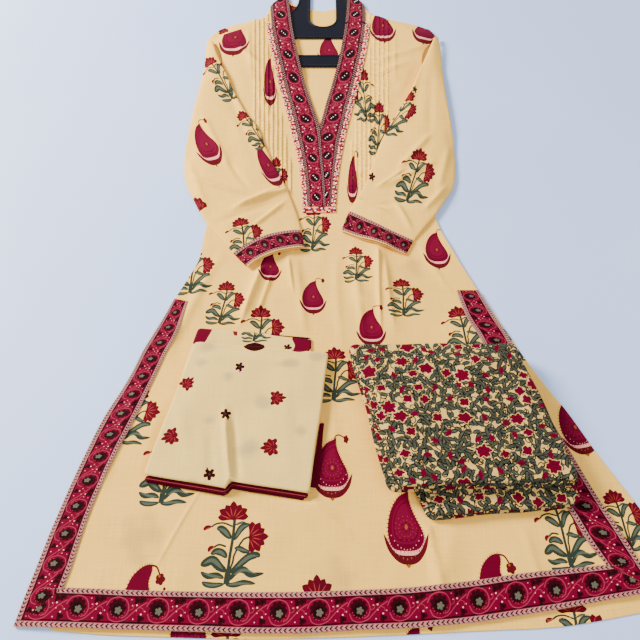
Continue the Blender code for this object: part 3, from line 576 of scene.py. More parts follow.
def plant():
    """A flowering plant in a box one wide and one high: leaves in pairs, two lotus heads and two buds."""
    shapes = [(LEAF, brush(line, width, 4)) for line, width in PLANT_STALKS]
    for points, width in PLANT_LEAVES:
        shapes.append((LEAF, brush(points, width * 1.12, 5, leaf_like)))
        line = run_through(points, 4)
        inner = line[len(line) // 8:-max(1, len(line) // 8)]
        shapes.append((LEAF_LIGHT, brush(inner[[0, len(inner) // 2, -1]], width * 0.50, 4, petal_like)))
    shapes += lotus(-0.045, 0.275, 0.215, 2)
    shapes += lotus(0.158, 0.070, 0.215, -88)
    for start, end in (((-0.294, 0.195), (-0.385, 0.150)), ((-0.245, -0.040), (-0.305, -0.100))):
        middle = (start[0] * 0.5 + end[0] * 0.5 - 0.012, start[1] * 0.5 + end[1] * 0.5 + 0.012)
        shapes.append((LOTUS, brush([start, middle, end], 0.050, 4, leaf_like)))
        shapes.append((LOTUS_LINE, brush([start, end], 0.012, 2, petal_like)))
    return [(colour, points * np.array([1.3, 1.0])) for colour, points in shapes]


def fringe(outline, middle, reach):
    """Little spikes all round a shape, away from its middle."""
    spikes = []
    for spot in outline:
        away = spot - middle
        away = away / np.hypot(*away) * reach
        side = np.array([-away[1], away[0]]) * 0.16
        spikes.append((CRIMSON, np.array([spot - side, spot + away, spot + side])))
    return spikes


def paisley(fine=False):
    """A paisley in a box one wide and one high, with its boat below and its bud curling off the tip."""
    horn = [(-0.50, -0.10), (-0.42, -0.28), (-0.22, -0.42), (0.02, -0.462), (0.26, -0.42), (0.44, -0.28),
            (0.50, -0.10), (0.40, -0.20), (0.24, -0.315), (0.02, -0.345), (-0.20, -0.315), (-0.38, -0.20)]
    crescent = [(-0.445, -0.13), (-0.26, -0.316), (0.02, -0.352), (0.28, -0.316),
                (0.455, -0.13), (0.26, -0.26), (0.02, -0.30), (-0.24, -0.26)]
    shapes = [(BOAT, loop_through(horn)), (PALE_PINK, loop_through(crescent))]
    body = loop_through([(0.04, 0.41), (-0.12, 0.36), (-0.29, 0.22), (-0.39, 0.03), (-0.39, -0.15),
                         (-0.28, -0.275), (0.02, -0.300), (0.27, -0.275), (0.40, -0.17), (0.37, -0.05),
                         (0.26, 0.09), (0.17, 0.22), (0.12, 0.34), (0.11, 0.42)])
    middle = body.mean(axis=0)
    if fine:
        shapes += fringe(body, middle, 0.045)
    for colour, share in ((CRIMSON, 1.0), (CRIMSON_FIELD, 0.78), (CRIMSON, 0.70), (CRIMSON_FIELD, 0.62)):
        shapes.append((colour, body * share + middle * (1 - share)))
    shapes.append((BOAT, brush([(0.08, 0.39), (0.10, 0.46), (0.20, 0.49), (0.33, 0.45)], 0.022)))
    shapes.append((BOAT, scallop(0.37, 0.425, 0.065, 5)))
    shapes.append((AMBER, dot(0.02, -0.015, 0.035, 6)))
    for k in range(6):
        a = k * math.tau / 6 + 0.5
        shapes.append((LOTUS, dot(0.02 + 0.085 * math.cos(a), -0.015 + 0.05 * math.sin(a), 0.022, 5)))
    if not fine:
        return shapes + [(BOAT, brush([(0.02, -0.45), (0.02, -0.50)], 0.06, 3, petal_like))]
    for t in np.arange(-4, 5) / 4:
        shapes.append((AMBER, dot(0.36 * t, -0.395 + 0.16 * abs(t) ** 1.8, 0.013, 6)))
    for t in np.arange(-5, 6) / 5:
        shapes.append((PALE_PINK, dot(0.34 * t + 0.01, -0.285 + 0.17 * abs(t) ** 2.2, 0.009, 5)))
    for reach in (0.16, 0.24):
        for a in np.arange(14) * math.tau / 14:
            x, y = 0.01 + reach * math.cos(a), -0.03 + reach * 0.62 * math.sin(a)
            shapes.append((LOTUS_LINE, dot(x, y, 0.008, 4)))
    shapes.append((AMBER, brush([(0.02, -0.45), (0.02, -0.50)], 0.07, 4, petal_like)))
    shapes.append((AMBER, brush([(-0.05, -0.47), (0.09, -0.47)], 0.022, 4, petal_like)))
    return shapes


def crown():
    """The curled head of a paisley that runs off under a border."""
    dome = loop_through([(-0.50, -0.60), (-0.48, -0.25), (-0.34, 0.14), (-0.06, 0.40), (0.20, 0.46),
                         (0.26, 0.30), (0.20, 0.00), (0.30, -0.30), (0.44, -0.60)])
    return [*fringe(dome, np.array([0.0, -0.2]), 0.07),
            (CRIMSON, dome),
            (BOAT, brush([(0.16, 0.44), (0.38, 0.40), (0.52, 0.18)], 0.05)),
            (BOAT, scallop(0.54, 0.08, 0.15, 5)),
            (AMBER, dot(0.50, 0.16, 0.04, 5)),
            (BOAT, dot(0.70, -0.16, 0.05, 5))]


def tiny_flower():
    """A small five-petalled flower on a short stalk."""
    return [(MAROON, brush([(0.0, 0.0), (0.06, -0.5)], 0.10)),
            (MAROON, scallop(0.0, 0.08, 0.42, 5, 0.4, 4, math.pi / 2)),
            (LEAF, dot(0.0, 0.08, 0.10, 5))]


def printed(shapes, x, y, width, height, turn=0.0, flip=False):
    """Shapes drawn in a unit box, moved to their place on the cloth."""
    c, s = math.cos(math.radians(turn)), math.sin(math.radians(turn))
    out = []
    for colour, points in shapes:
        px, py = points[:, 0] * width * (-1 if flip else 1), points[:, 1] * height
        out.append((colour, np.column_stack([x + px * c - py * s, y + px * s + py * c])))
    return out


MOTIFS = {"plant": plant(), "paisley": paisley(), "fine_paisley": paisley(True), "crown": crown(),
          "tiny": tiny_flower(), "lotus": lotus(0.0, -0.5, 1.0, 0),
          "bloom": [(LOTUS, scallop(0.0, -0.20, 0.27, 9, 0.10))] + lotus(0.0, -0.26, 0.72, 0, 7, 104)}


def print_rows(rows):
    """All the shapes of a cloth, from rows of motif, x, y, width, height and, where needed, turn and flip."""
    return [shape for motif, *pose in rows for shape in printed(MOTIFS[motif], *pose)]


def cotton_material(name, roughness=0.82, weave=0.00055, slub=0.10, bump=0.25, sheen=0.02):
    """Printed slub cotton: the print's own colours, uneven yarns both ways, and a fine weave."""
    material, tree, shader = new_material(name, CREAM, roughness)
    shader.inputs["Sheen Weight"].default_value = sheen
    shader.inputs["Sheen Roughness"].default_value = 0.5
    shader.inputs["Specular IOR Level"].default_value = 0.04
    spot = add_node(tree, "ShaderNodeTexCoord")
    yarns = add_node(tree, "ShaderNodeMath", operation="ADD")
    for entry, stretch in enumerate(((26.0, 620.0, 1.0), (620.0, 22.0, 1.0))):
        way = add_node(tree, "ShaderNodeMapping", {"Scale": stretch})
        yarn = add_node(tree, "ShaderNodeTexNoise", {"Scale": 1.0, "Detail": 2.0, "Roughness": 0.5})
        wire(tree, (spot, "Object", way, "Vector"), (way, "Vector", yarn, "Vector"),
             (yarn, "Fac", yarns, entry))
    tone = add_node(tree, "ShaderNodeMapRange",
                    {"From Min": 0.6, "From Max": 1.4, "To Min": 1 - slub, "To Max": 1 + slub})
    cloud = add_node(tree, "ShaderNodeTexNoise", {"Scale": 9.0, "Detail": 3.0, "Roughness": 0.6})
    drift = add_node(tree, "ShaderNodeMapRange",
                     {"From Min": 0.3, "From Max": 0.7, "To Min": 0.955, "To Max": 1.03})
    both = add_node(tree, "ShaderNodeMath", operation="MULTIPLY")
    shadow = add_node(tree, "ShaderNodeAttribute", attribute_name="shade")
    inks = add_node(tree, "ShaderNodeVertexColor", layer_name="print")
    through = add_node(tree, "ShaderNodeMix", data_type="RGBA", blend_type="MULTIPLY")
    through.inputs[7].default_value = (*GHOST, 1)
    worn = add_node(tree, "ShaderNodeVectorMath", operation="SCALE")
    lift = add_node(tree, "ShaderNodeBump", {"Strength": bump, "Distance": weave})
    wire(tree, (yarns, "Value", tone, "Value"), (spot, "Object", cloud, "Vector"),
         (cloud, "Fac", drift, "Value"), (tone, "Result", both, 0), (drift, "Result", both, 1),
         (shadow, "Fac", through, 0), (inks, "Color", through, 6), (through, 2, worn, 0),
         (both, "Value", worn, "Scale"), (worn, "Vector", shader, "Base Color"),
         (yarns, "Value", lift, "Height"), (lift, "Normal", shader, "Normal"))
    return material


kurta_cotton = cotton_material("kurta_cotton")

BACK_PRINT = [
    ("plant", 0.325, -0.507, 0.058, 0.075, 8),
    ("plant", 0.244, -0.632, 0.072, 0.085),
    ("plant", -0.144, -0.655, 0.072, 0.080),
    ("paisley", 0.308, -0.560, 0.040, 0.060),
    ("paisley", -0.027, 0.405, 0.046, 0.100),
    ("lotus", -0.104, 0.545, 0.013, 0.026, 20),
    ("fine_paisley", 0.290, -0.388, 0.048, 0.084, 12),
    ("plant", 0.238, -0.262, 0.050, 0.060, 10),
    ("fine_paisley", -0.190, -0.625, 0.050, 0.090),
    ("fine_paisley", 0.060, -0.660, 0.050, 0.090),
]


def tones(shapes, prints, ground):
    table = np.array([ground] + [colour for colour, _ in shapes])
    return table[np.array(prints) + 1]


def dress(name, mesh, material, node=None):
    """Puts a piece on the set; one that dresses a solid takes that solid's place."""
    piece = place(name, mesh, material)
    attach(piece, "root")
    if node:
        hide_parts(node)
    return piece


def sheet_size(outline):
    """The width and length of the smallest rectangle that a panel is cut from."""
    best = None
    for angle in np.radians(np.arange(0, 90, 3)):
        turned = outline @ np.array([[math.cos(angle), -math.sin(angle)], [math.sin(angle), math.cos(angle)]])
        width, length = (turned.max(axis=0) - turned.min(axis=0)).tolist()
        if best is None or width * length < best[0] * best[1] * 0.98:
            best = (width, length)
    return best


back_edge = rounded_off(node_outlines("kurta_back")[0], 0.008)
seam_reach = np.sin(math.pi * np.clip((back_edge[:, 1] - 0.330) / 0.115, 0, 1)) ** 0.5
seam_reach *= np.abs(back_edge[:, 0] + 0.0425) > 0.16
back_edge[:, 0] += np.where(back_edge[:, 0] < 0, -0.0110, 0.0060) * seam_reach
back_shapes = print_rows(BACK_PRINT)
plan, tris, prints = cut_out(back_edge, [s for _, s in back_shapes], 0.012,
                             rings=[inset(back_edge, d) for d in (0.0003, 0.0007)])


def back_top(x, y):
    return np.full_like(x, COTTON)


mesh = panel_mesh("kurta_back_panel", plan, tris, tones(back_shapes, prints, CREAM), back_top, COTTON, CREAM)
kurta_back = dress("kurta_back_panel", mesh, kurta_cotton, "kurta_back")
abs(signed_area(back_edge))

# The kurta's front
# The same cotton, with nine pintucks on each side of the neck and a long V opening.
# Its print alternates crimson paisleys with flowering plants, and its waist falls in soft folds.
FRONT_PRINT = [
    ("plant", -0.145, -0.535, 0.078, 0.098),
    ("plant", -0.233, -0.443, 0.074, 0.098),
    ("plant", -0.183, -0.196, 0.056, 0.078, -4),
    ("plant", -0.236, -0.136, 0.062, 0.092, 4),
    ("plant", -0.127, -0.245, 0.064, 0.086),
    ("plant", 0.082, -0.187, 0.058, 0.068, 2),
    ("plant", 0.014, -0.127, 0.048, 0.070),
    ("plant", -0.052, -0.054, 0.052, 0.097),
    ("plant", -0.020, -0.313, 0.068, 0.085),
    ("plant", 0.165, -0.242, 0.066, 0.082, 8),
    ("plant", 0.249, -0.520, 0.066, 0.090, 8),
    ("plant", -0.043, -0.625, 0.078, 0.110),
    ("plant", -0.290, -0.372, 0.066, 0.086, -8),
    ("paisley", -0.055, -0.185, 0.040, 0.066),
    ("paisley", 0.029, -0.237, 0.043, 0.070),
    ("paisley", 0.137, -0.097, 0.043, 0.080),
    ("fine_paisley", 0.058, -0.515, 0.053, 0.096),
    ("fine_paisley", -0.030, -0.443, 0.052, 0.086),
    ("crown", -0.249, -0.578, 0.038, 0.042),
    ("crown", 0.157, -0.566, 0.038, 0.042),
    ("paisley", -0.121, -0.131, 0.036, 0.060),
    ("paisley", -0.216, 0.435, 0.062, 0.130),
    ("paisley", 0.083, 0.474, 0.054, 0.120),
    ("paisley", 0.172, 0.470, 0.054, 0.120, -10, True),
    ("paisley", -0.140, 0.305, 0.027, 0.150, 3),
    ("paisley", 0.011, 0.056, 0.020, 0.125, -3),
    ("plant", 0.036, 0.265, 0.042, 0.150, 0, True),
    ("plant", -0.118, 0.050, 0.040, 0.110),
    ("plant", 0.0630, 0.178, 0.040, 0.142, -4),
]
# The left shoulder's paisley stops at the fold where the printed cloth turns under
SHOULDER_FOLD = np.array([(-0.2660, 0.4440), (-0.2320, 0.4480), (-0.2130, 0.4575), (-0.1950, 0.4665),
                          (-0.1800, 0.4690), (-0.1790, 0.5400), (-0.2660, 0.5400)])
TUCKS_A_SIDE = 9
TUCK_PITCH = 0.0092
TUCK_FIRST = 0.062
TUCK_HEIGHT = 0.0015
TUCK_TOP = 0.4755
TUCK_END = 0.0155
TUCK_LEAN = 0.19
TUCK_FOLD = 0.0004
TUCK_FOOT = 0.0026
SHOULDER = TUCK_TOP + 0.05
CENTRE = -0.0425

front_edge = rounded_off(node_outlines("kurta_front")[0], 0.006)
under_front = relief("kurta_front", from_below=True, blur=2)


def tuck_x(number, side, y):
    lean = 1.0 - TUCK_LEAN * (TUCK_TOP - y) / (TUCK_TOP - TUCK_END)
    return CENTRE + side * (TUCK_FIRST + TUCK_PITCH * number) * lean


def tucks(x, y):
    """Pintucks: each rises from its stitch line and lies over away from the neck."""
    total = np.zeros_like(x)
    for side in (-1, 1):
        for number in range(TUCKS_A_SIDE):
            away = (x - tuck_x(number, side, y)) * side
            rise = np.clip((away + TUCK_FOLD) / TUCK_FOLD, 0, 1)
            total = np.maximum(total, rise * np.clip((TUCK_FOOT - away) / TUCK_FOOT, 0, 1))
    ends = smooth((y - TUCK_END) / 0.006) * smooth((SHOULDER - y) / 0.01)
    return TUCK_HEIGHT * total * ends * bands_off(x, y)


# Every crease bows a little to one side and back
CREASE_BOW = 0.0175
CREASE_TURN = 2.6
# Creases of the front: x and y of both ends, the half width, and the height, below zero for a trough
CREASES = [
    (-0.184, -0.455, -0.236, -0.566, 0.0028, 0.0016),
    (-0.020, -0.560, 0.035, -0.600, 0.0034, 0.0012),
    (0.0465, -0.088, 0.0450, -0.250, 0.0030, 0.0044),
    (0.0560, -0.120, 0.0640, -0.240, 0.0034, 0.0022),
    (0.110, -0.085, 0.158, -0.190, 0.0060, 0.0030),
    (0.006, -0.085, 0.022, -0.260, 0.0060, 0.0030),
    (-0.128, -0.118, -0.160, -0.240, 0.0042, 0.0046),
    (-0.117, -0.145, -0.136, -0.225, 0.0034, 0.0030),
    (-0.094, -0.108, -0.083, -0.180, 0.0028, 0.0030),
    (-0.080, -0.115, -0.062, -0.260, 0.0060, 0.0026),
    (-0.200, -0.110, -0.262, -0.300, 0.0080, 0.0036),
    (-0.020, -0.110, -0.012, -0.270, 0.0070, 0.0022),
    (0.195, -0.090, 0.240, -0.250, 0.0070, 0.0030),
    (0.270, -0.300, 0.325, -0.430, 0.0050, 0.0026),
    (-0.290, -0.330, -0.318, -0.500, 0.0070, 0.0022),
    (0.080, -0.475, 0.100, -0.605, 0.0062, 0.0040),
    (-0.030, -0.300, -0.022, -0.430, 0.0080, 0.0018),
    (-0.060, -0.480, 0.010, -0.540, 0.0060, 0.0014),
    (0.200, -0.520, 0.215, -0.600, 0.0060, 0.0018),
    (-0.190, 0.470, -0.170, 0.300, 0.0040, 0.0016),
    (0.110, 0.460, 0.100, 0.300, 0.0040, 0.0014),
    (0.062, 0.358, 0.166, 0.412, 0.0080, 0.0036),
    (0.060, 0.322, 0.128, 0.356, 0.0070, 0.0026),
    (-0.222, 0.425, -0.150, 0.335, 0.0075, 0.0032),
    (-0.160, 0.270, -0.120, 0.180, 0.0060, 0.0022),
]


def crease_height(x, y, rows):
    total = np.zeros_like(x)
    for x0, y0, x1, y1, half, height in rows:
        length = math.hypot(x1 - x0, y1 - y0)
        ex, ey = (x1 - x0) / length, (y1 - y0) / length
        along = ((x - x0) * ex + (y - y0) * ey) / length
        across = (x - x0) * -ey + (y - y0) * ex + CREASE_BOW * length * np.sin(along * CREASE_TURN)
        ends = smooth((along + 0.15) / 0.4) * smooth((1.15 - along) / 0.5)
        total += height * ends * np.exp(-(across / half) ** 2)
    return total


def along_creases(rows, outline):
    """Extra points on and beside each crease, so that the panel bends there."""
    spots = []
    for x0, y0, x1, y1, half, _ in rows:
        start, ahead = np.array([x0, y0]), np.array([x1 - x0, y1 - y0])
        length = float(np.hypot(*ahead))
        ahead = ahead / length
        sideways = np.array([-ahead[1], ahead[0]])
        for along in np.arange(-0.12, 1.12, half * 0.95 / length):
            middle = start + ahead * along * length
            middle = middle - sideways * CREASE_BOW * length * math.sin(along * CREASE_TURN)
            for share in (-1.9, -1.3, -0.85, -0.42, 0.0, 0.42, 0.85, 1.3, 1.9):
                spots.append(middle + sideways * share * half)
    spots = np.array(spots)
    return spots[outside(outline, *spots.T) < -0.004]


def unevenness(x, y, scale, depth, seed):
    """The slight waviness of cloth that has been folded and laid out again."""
    values = [noise.noise(Vector((a * scale, b * scale * 0.7, seed))) for a, b in zip(x, y)]
    return depth * np.array(values)


def free_of(names, reach):
    """A function that is 0 under and beside the named solids and rises to 1 away from them."""
    outlines = []
    for name in names:
        spots = [v.co.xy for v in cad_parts[name].data.vertices]
        outlines.append(np.array([spots[k] for k in convex_hull_2d(spots)]))

    def share(x, y):
        away = np.full(len(x), 1.0)
        for outline in outlines:
            away = np.minimum(away, outside(outline, x, y))
        return smooth((away - 0.002) / reach)
    return share


BANDS = ["neck_band_left", "neck_band_right"]
EDGINGS = ["neck_edging_left", "neck_edging_right", "neck_edging_foot"]
bare_of_all = free_of(["stole_folded", "trousers_folded", *BANDS, *EDGINGS, "sleeve_left", "sleeve_right",
                       "cuff_left", "cuff_right"], 0.014)
bands_off = free_of(BANDS + EDGINGS, 0.003)


def front_relief(x, y, creases):
    """What the front has beyond its solid, never below it: fine creases and a slight waviness."""
    wavy = crease_height(x, y, creases) + unevenness(x, y, 13.0, 0.0030, 3.1)
    wavy = wavy + unevenness(x, y, 42.0, 0.0009, 7.7)
    return 0.5 * (wavy + np.sqrt(wavy * wavy + 2e-7)) * bare_of_all(x, y)


# Where the plants printed on the back show faintly through the front: place, width and height
SHOW_THROUGH = [(-0.259, -0.530, 0.060, 0.070), (-0.027, -0.574, 0.058, 0.056), (0.170, -0.300, 0.050, 0.060),
                (-0.140, -0.380, 0.050, 0.060), (0.095, -0.135, 0.040, 0.050), (-0.165, -0.030, 0.040, 0.060),
                (0.040, -0.360, 0.045, 0.060), (0.275, -0.465, 0.050, 0.060)]


def ghosts(x, y, rows, strength=0.66):
    """How strongly a print on the layer below shows through at each point."""
    total = np.zeros(len(x))
    for gx, gy, width, height in rows:
        spread = np.sqrt(((x - gx) / (width / 2)) ** 2 + ((y - gy) / (height / 2)) ** 2)
        ragged = 0.16 * np.sin(x * 190 + y * 90) + 0.12 * np.sin(y * 240 - x * 60)
        total = np.maximum(total, smooth((1.15 - spread + ragged) / 0.9))
    return strength * total


PROUD = 0.0004


def front_top(x, y, creases=CREASES):
    return under_front(x, y) + COTTON + front_relief(x, y, creases) + PROUD


def front_level(x, y):
    return front_top(x, y, ())


def front_top_tucked(x, y):
    return front_top(x, y) + tucks(x, y)


front_shapes = print_rows(FRONT_PRINT)
front_shapes.append((CREAM, SHOULDER_FOLD))
front_shapes += printed(MOTIFS["lotus"], -0.2420, 0.4640, 0.013, 0.024, 14)
tuck_lines = []
for side in (-1, 1):
    for number in range(TUCKS_A_SIDE):
        for offset in (-TUCK_FOLD, 0.0, TUCK_FOOT):
            stops = np.arange(TUCK_END, SHOULDER, 0.008)
            line = np.column_stack([tuck_x(number, side, stops) + side * offset, stops])
            covered = (outside(front_edge, *line.T) >= -0.001) | (bands_off(*line.T) <= 0)
            first, *others = np.split(line, np.nonzero(covered)[0])
            tuck_lines += [run for run in (first, *(other[1:] for other in others)) if len(run) > 1]
plan, tris, prints = cut_out(front_edge, [s for _, s in front_shapes], 0.0055, lines=tuck_lines,
                             extra=along_creases(CREASES, front_edge),
                             rings=[inset(front_edge, d) for d in (0.0003, 0.0007)])
mesh = panel_mesh("kurta_front_panel", plan, tris, tones(front_shapes, prints, CREAM), front_top_tucked,
                  COTTON, CREAM, shade=ghosts(*plan.T, SHOW_THROUGH), under_step=0.008, level=front_level)
kurta_front = dress("kurta_front_panel", mesh, kurta_cotton, "kurta_front")
abs(signed_area(front_edge))

# The hem and slit borders
# Strips of a second block print, crimson with a spiralling flower vine between chevron edges.
# They are stitched flat over the front's hem and its two side slits, and mitred at the corners.
STRIP = 0.0010
SEWN_GAP = 0.0003
STRIP_PROUD = 0.0003
BORDER_GROUND = dye(99, 0, 32)
VINE_PINK = dye(142, 42, 60)
EDGE_PINK = dye(160, 112, 104)
CHEVRON = dye(72, 0, 18)
DARK_LINE = dye(22, 0, 3)
FLOWER_EYE = dye(84, 80, 64)
CELL = 1.10


def strip_sides(outline, stops, along="y"):
    """The two sides of a strip at each stop: its lowest and highest x for a y, or y for an x."""
    a, b = np.asarray(outline), np.roll(np.asarray(outline), -1, axis=0)
    main, other = (1, 0) if along == "y" else (0, 1)
    first, last = [], []
    for stop in stops:
        crosses = (a[:, main] > stop) != (b[:, main] > stop)
        share = (stop - a[crosses, main]) / (b[crosses, main] - a[crosses, main])
        found = a[crosses, other] + share * (b[crosses, other] - a[crosses, other])
        first.append((found.min(), stop) if along == "y" else (stop, found.min()))
        last.append((found.max(), stop) if along == "y" else (stop, found.max()))
    return np.array(first), np.array(last)


def lengths_of(run):
    """How far along a run each of its points lies."""
    return np.concatenate([[0], np.cumsum(np.hypot(*np.diff(run, axis=0).T))])


def points_at(stops, lengths, run):
    return np.column_stack([np.interp(stops, lengths, run[:, k]) for k in (0, 1)])


def strip_map(first, last):
    """A strip as a map: how far along it, in metres, and the share across it from its first side."""
    length = lengths_of((first + last) / 2)

    def side(points, s):
        s = np.asarray(s, float)
        out = points_at(s, length, points)
        before, after = s < 0, s > length[-1]
        start = (points[1] - points[0]) / (length[1] - length[0])
        end = (points[-1] - points[-2]) / (length[-1] - length[-2])
        out[before] = points[0] + s[before, None] * start
        out[after] = points[-1] + (s[after, None] - length[-1]) * end
        return out

    def spot(s, t):
        t = np.asarray(t, float)[:, None]
        return side(first, s) * (1 - t) + side(last, s) * t
    return spot, length[-1]


def border_cell():
    """One repeat of the border, in strip widths from the middle of its flower."""
    shapes = [(VINE_PINK, brush([(-0.31, 0.08), (-0.21, 0.24), (0.0, 0.31), (0.22, 0.23), (0.31, 0.02),
                                 (0.25, -0.16), (0.13, -0.22)], 0.026)),
              (VINE_PINK, brush([(-0.26, -0.10), (-0.17, -0.26), (0.02, -0.315), (0.24, -0.25), (0.42, -0.09),
                                 (0.60, 0.07), (0.80, 0.19)], 0.026)),
              (MAROON, scallop(0.0, 0.03, 0.235, 9, 0.16)),
              (DARK_LINE, scallop(0.01, 0.0, 0.15, 8, 0.22)),
              (FLOWER_EYE, scallop(0.03, -0.03, 0.095, 5, 0.3))]
    for k in range(7):
        a = math.radians(195 + 24 * k)
        shapes.append((VINE_PINK, dot(0.02 + 0.20 * math.cos(a), -0.02 + 0.19 * math.sin(a), 0.017, 5)))
    for x, y, turn in ((0.52, 0.23, 0), (0.66, -0.22, 180), (-0.44, 0.26, 30)):
        shapes += [(MAROON, scallop(x, y, 0.095, 3, 0.35, 4, math.radians(90 + turn))),
                   (DARK_LINE, dot(x, y, 0.035, 6))]
    for x, y, size in ((0.52, 0.115, 0.026), (0.66, -0.115, 0.026), (0.40, 0.10, 0.016), (0.52, -0.02, 0.016),
                       (0.46, -0.24, 0.018), (0.36, 0.25, 0.014), (0.76, -0.04, 0.016)):
        shapes.append((PALE_PINK, dot(x, y, size, 6)))
    shapes.append((VINE_PINK, brush([(0.33, -0.02), (0.42, 0.02), (0.44, 0.12)], 0.016, 3)))
    shapes.append((VINE_PINK, brush([(0.60, 0.07), (0.70, 0.02), (0.72, -0.06)], 0.016, 3)))
    return shapes


def band_of(spot, s0, s1, t0, t1, step=0.006):
    """A stripe along a strip, from s0 to s1 and between two shares of its width."""
    stops = np.linspace(s0, s1, max(2, int(abs(s1 - s0) / step) + 1))
    return np.concatenate([spot(stops, np.full(len(stops), t0)), spot(stops[::-1], np.full(len(stops), t1))])


ARROW = np.array([(-0.42, 0), (0.04, 0.40), (0.46, 0.40), (0.02, 0), (0.46, -0.40), (0.04, -0.40)])


def border_print(spot, centres, cell, chevrons=8, edge=0.14, arrows=True):
    """A border's print: its ground, its two edges and a repeat of the cell round each centre along it."""
    centres = np.asarray(centres, float)
    numbers = np.arange(len(centres))

    def along(u):
        u = np.asarray(u, float)
        out = np.interp(u, numbers, centres)
        first, last = centres[1] - centres[0], centres[-1] - centres[-2]
        out = np.where(u < 0, centres[0] + u * first, out)
        return np.where(u > numbers[-1], centres[-1] + (u - numbers[-1]) * last, out)

    start, end = along([-1.5, len(centres) + 0.5])
    shapes = [(colour, band_of(spot, start, end, *sides)) for colour, sides in (
        (BORDER_GROUND, (edge, 1 - edge)), (EDGE_PINK, (-0.05, edge)), (EDGE_PINK, (1 - edge, 1.05)),
        (DARK_LINE, (edge + 0.022, edge + 0.055)), (DARK_LINE, (1 - edge - 0.055, 1 - edge - 0.022)))]
    for number in range(-1, len(centres) + 1):
        for colour, points in cell:
            shapes.append((colour, spot(along(number + points[:, 0] / CELL), points[:, 1] + 0.5)))
        for k in range(chevrons if arrows else 0):
            u = number + (k + 0.5) / chevrons - 0.5
            for t in (edge * 0.5, 1 - edge * 0.5):
                shapes.append((CHEVRON, spot(along(u + ARROW[:, 0] / chevrons), t + ARROW[:, 1] * edge)))
    return shapes


def even_centres(length, first, step_at):
    """Where the repeats of a strip fall, each step worked out from where it starts."""
    centres = [first]
    while centres[-1] < length:
        centres.append(centres[-1] + step_at(centres[-1] / length))
    return centres


def lay_strip(node, piece_name, outline, shapes, top, material, step=0.006, ground=BORDER_GROUND):
    plan, tris, prints = cut_out(outline, [s for _, s in shapes], step,
                                 rings=[inset(outline, d) for d in (0.00025, 0.0006)])
    inks = tones(shapes, prints, ground)
    mesh = panel_mesh(piece_name, plan, tris, inks, top, STRIP, ground, under_step=0.007)
    piece = dress(piece_name, mesh, material, node)
    sheet_size(outline)
    abs(signed_area(outline))


def strip_top(x, y):
    return front_top(x, y) + SEWN_GAP + STRIP + STRIP_PROUD


STITCH_PITCH = 0.0036
STITCH = 0.0024
THREAD = 0.0005


def stitches(name, runs, surface, material):
    """Rows of sewn stitches along runs of points, each half sunk in the cloth."""
    verts, faces = [], []
    for run in runs:
        along = lengths_of(run)
        stops = np.arange(STITCH_PITCH / 2, along[-1] - STITCH, STITCH_PITCH)
        ends = []
        for shift in (-STITCH / 2, STITCH / 2):
            spots = points_at(stops + shift, along, run)
            ends.append(np.column_stack([spots, surface(*spots.T)]))
        for a, b in zip(*ends):
            sideways = np.array([-(b - a)[1], (b - a)[0], 0.0])
            sideways *= THREAD / 2 / max(1e-9, np.hypot(*sideways[:2]))
            middle, first = (a + b) / 2, len(verts)
            verts += [a, b, middle + sideways, middle - sideways]
            verts += [middle + (0, 0, 0.0003), middle - (0, 0, 0.0002)]
            for end, order in ((0, 1), (1, -1)):
                ring = [2, 4, 3, 5][::order]
                faces += [(first + end, first + ring[k], first + ring[(k + 1) % 4]) for k in range(4)]
    mesh = bpy.data.meshes.new(name)
    mesh.from_pydata([tuple(v) for v in verts], [], faces)
    mesh.update()
    dress(name, mesh, material)


border_cotton = cotton_material("border_cotton", 0.80, slub=0.14, bump=0.3)
thread, tree, shader = new_material("sewing_thread", dye(196, 158, 128), 0.75)
ply = add_node(tree, "ShaderNodeTexNoise", {"Scale": 900.0, "Detail": 1.0})
twist = add_node(tree, "ShaderNodeBump", {"Strength": 0.3, "Distance": 0.0002})
wire(tree, (ply, "Fac", twist, "Height"), (twist, "Normal", shader, "Normal"))
cell = border_cell()
hem_edge = rounded_off(node_outlines("hem_border")[0], 0.006)
low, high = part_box("hem_border")
spot, length = strip_map(*strip_sides(hem_edge, np.arange(low.x + 0.055, high.x - 0.058, 0.012), "x"))
sewn_runs = [spot(np.linspace(-0.03, length + 0.03, 160), np.full(160, t)) for t in (0.045, 0.955)]
hem_shapes = border_print(spot, even_centres(length + 0.03, 0.013, lambda share: 0.0452), cell)
lay_strip("hem_border", "hem_border_strip", hem_edge, hem_shapes, strip_top, border_cotton)
for name, slit_top in (("slit_border_left", -0.1885), ("slit_border_right", 0.0)):
    edge = rounded_off(node_outlines(name)[0], 0.006)
    edge = edge[edge[:, 1] < slit_top]
    sides = strip_sides(edge, np.arange(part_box(name)[0].y + 0.046, edge[:, 1].max() - 0.001, 0.010))
    spot, length = strip_map(*(sides if name.endswith("left") else sides[::-1]))
    sewn_runs += [spot(np.linspace(0.0, length, 120), np.full(120, t)) for t in (0.05, 0.95)]
    centres = even_centres(length + 0.02, -0.016, lambda share: 0.0345 - 0.010 * share)
    shapes = border_print(spot, centres, cell)
    lay_strip(name, name + "_strip", edge, shapes, strip_top, border_cotton)
stitches("border_stitches", sewn_runs, strip_top, thread)
back_foot = back_edge[back_edge[:, 1] < -0.52]
back_foot = back_foot[np.argsort(back_foot[:, 0])] + np.array([0.0, 0.008])
stitches("back_hem_stitches", [back_foot[np.abs(back_foot[:, 0]) < 0.37]], back_top, thread)

# The neck bands
# A narrower crimson border with dark flowers, turned under and stitched down both sides of the V.
# Below the V the left band lies over the right one, and both end at the foot of the placket.
BAND_FLOWER = dye(12, 2, 4)
BAND_GROUND = dye(80, 0, 23)
BAND_SCRIBBLE = dye(152, 58, 70)
DOTTED_EDGE = dye(60, 4, 18)
EDGE_DOT = dye(150, 122, 114)


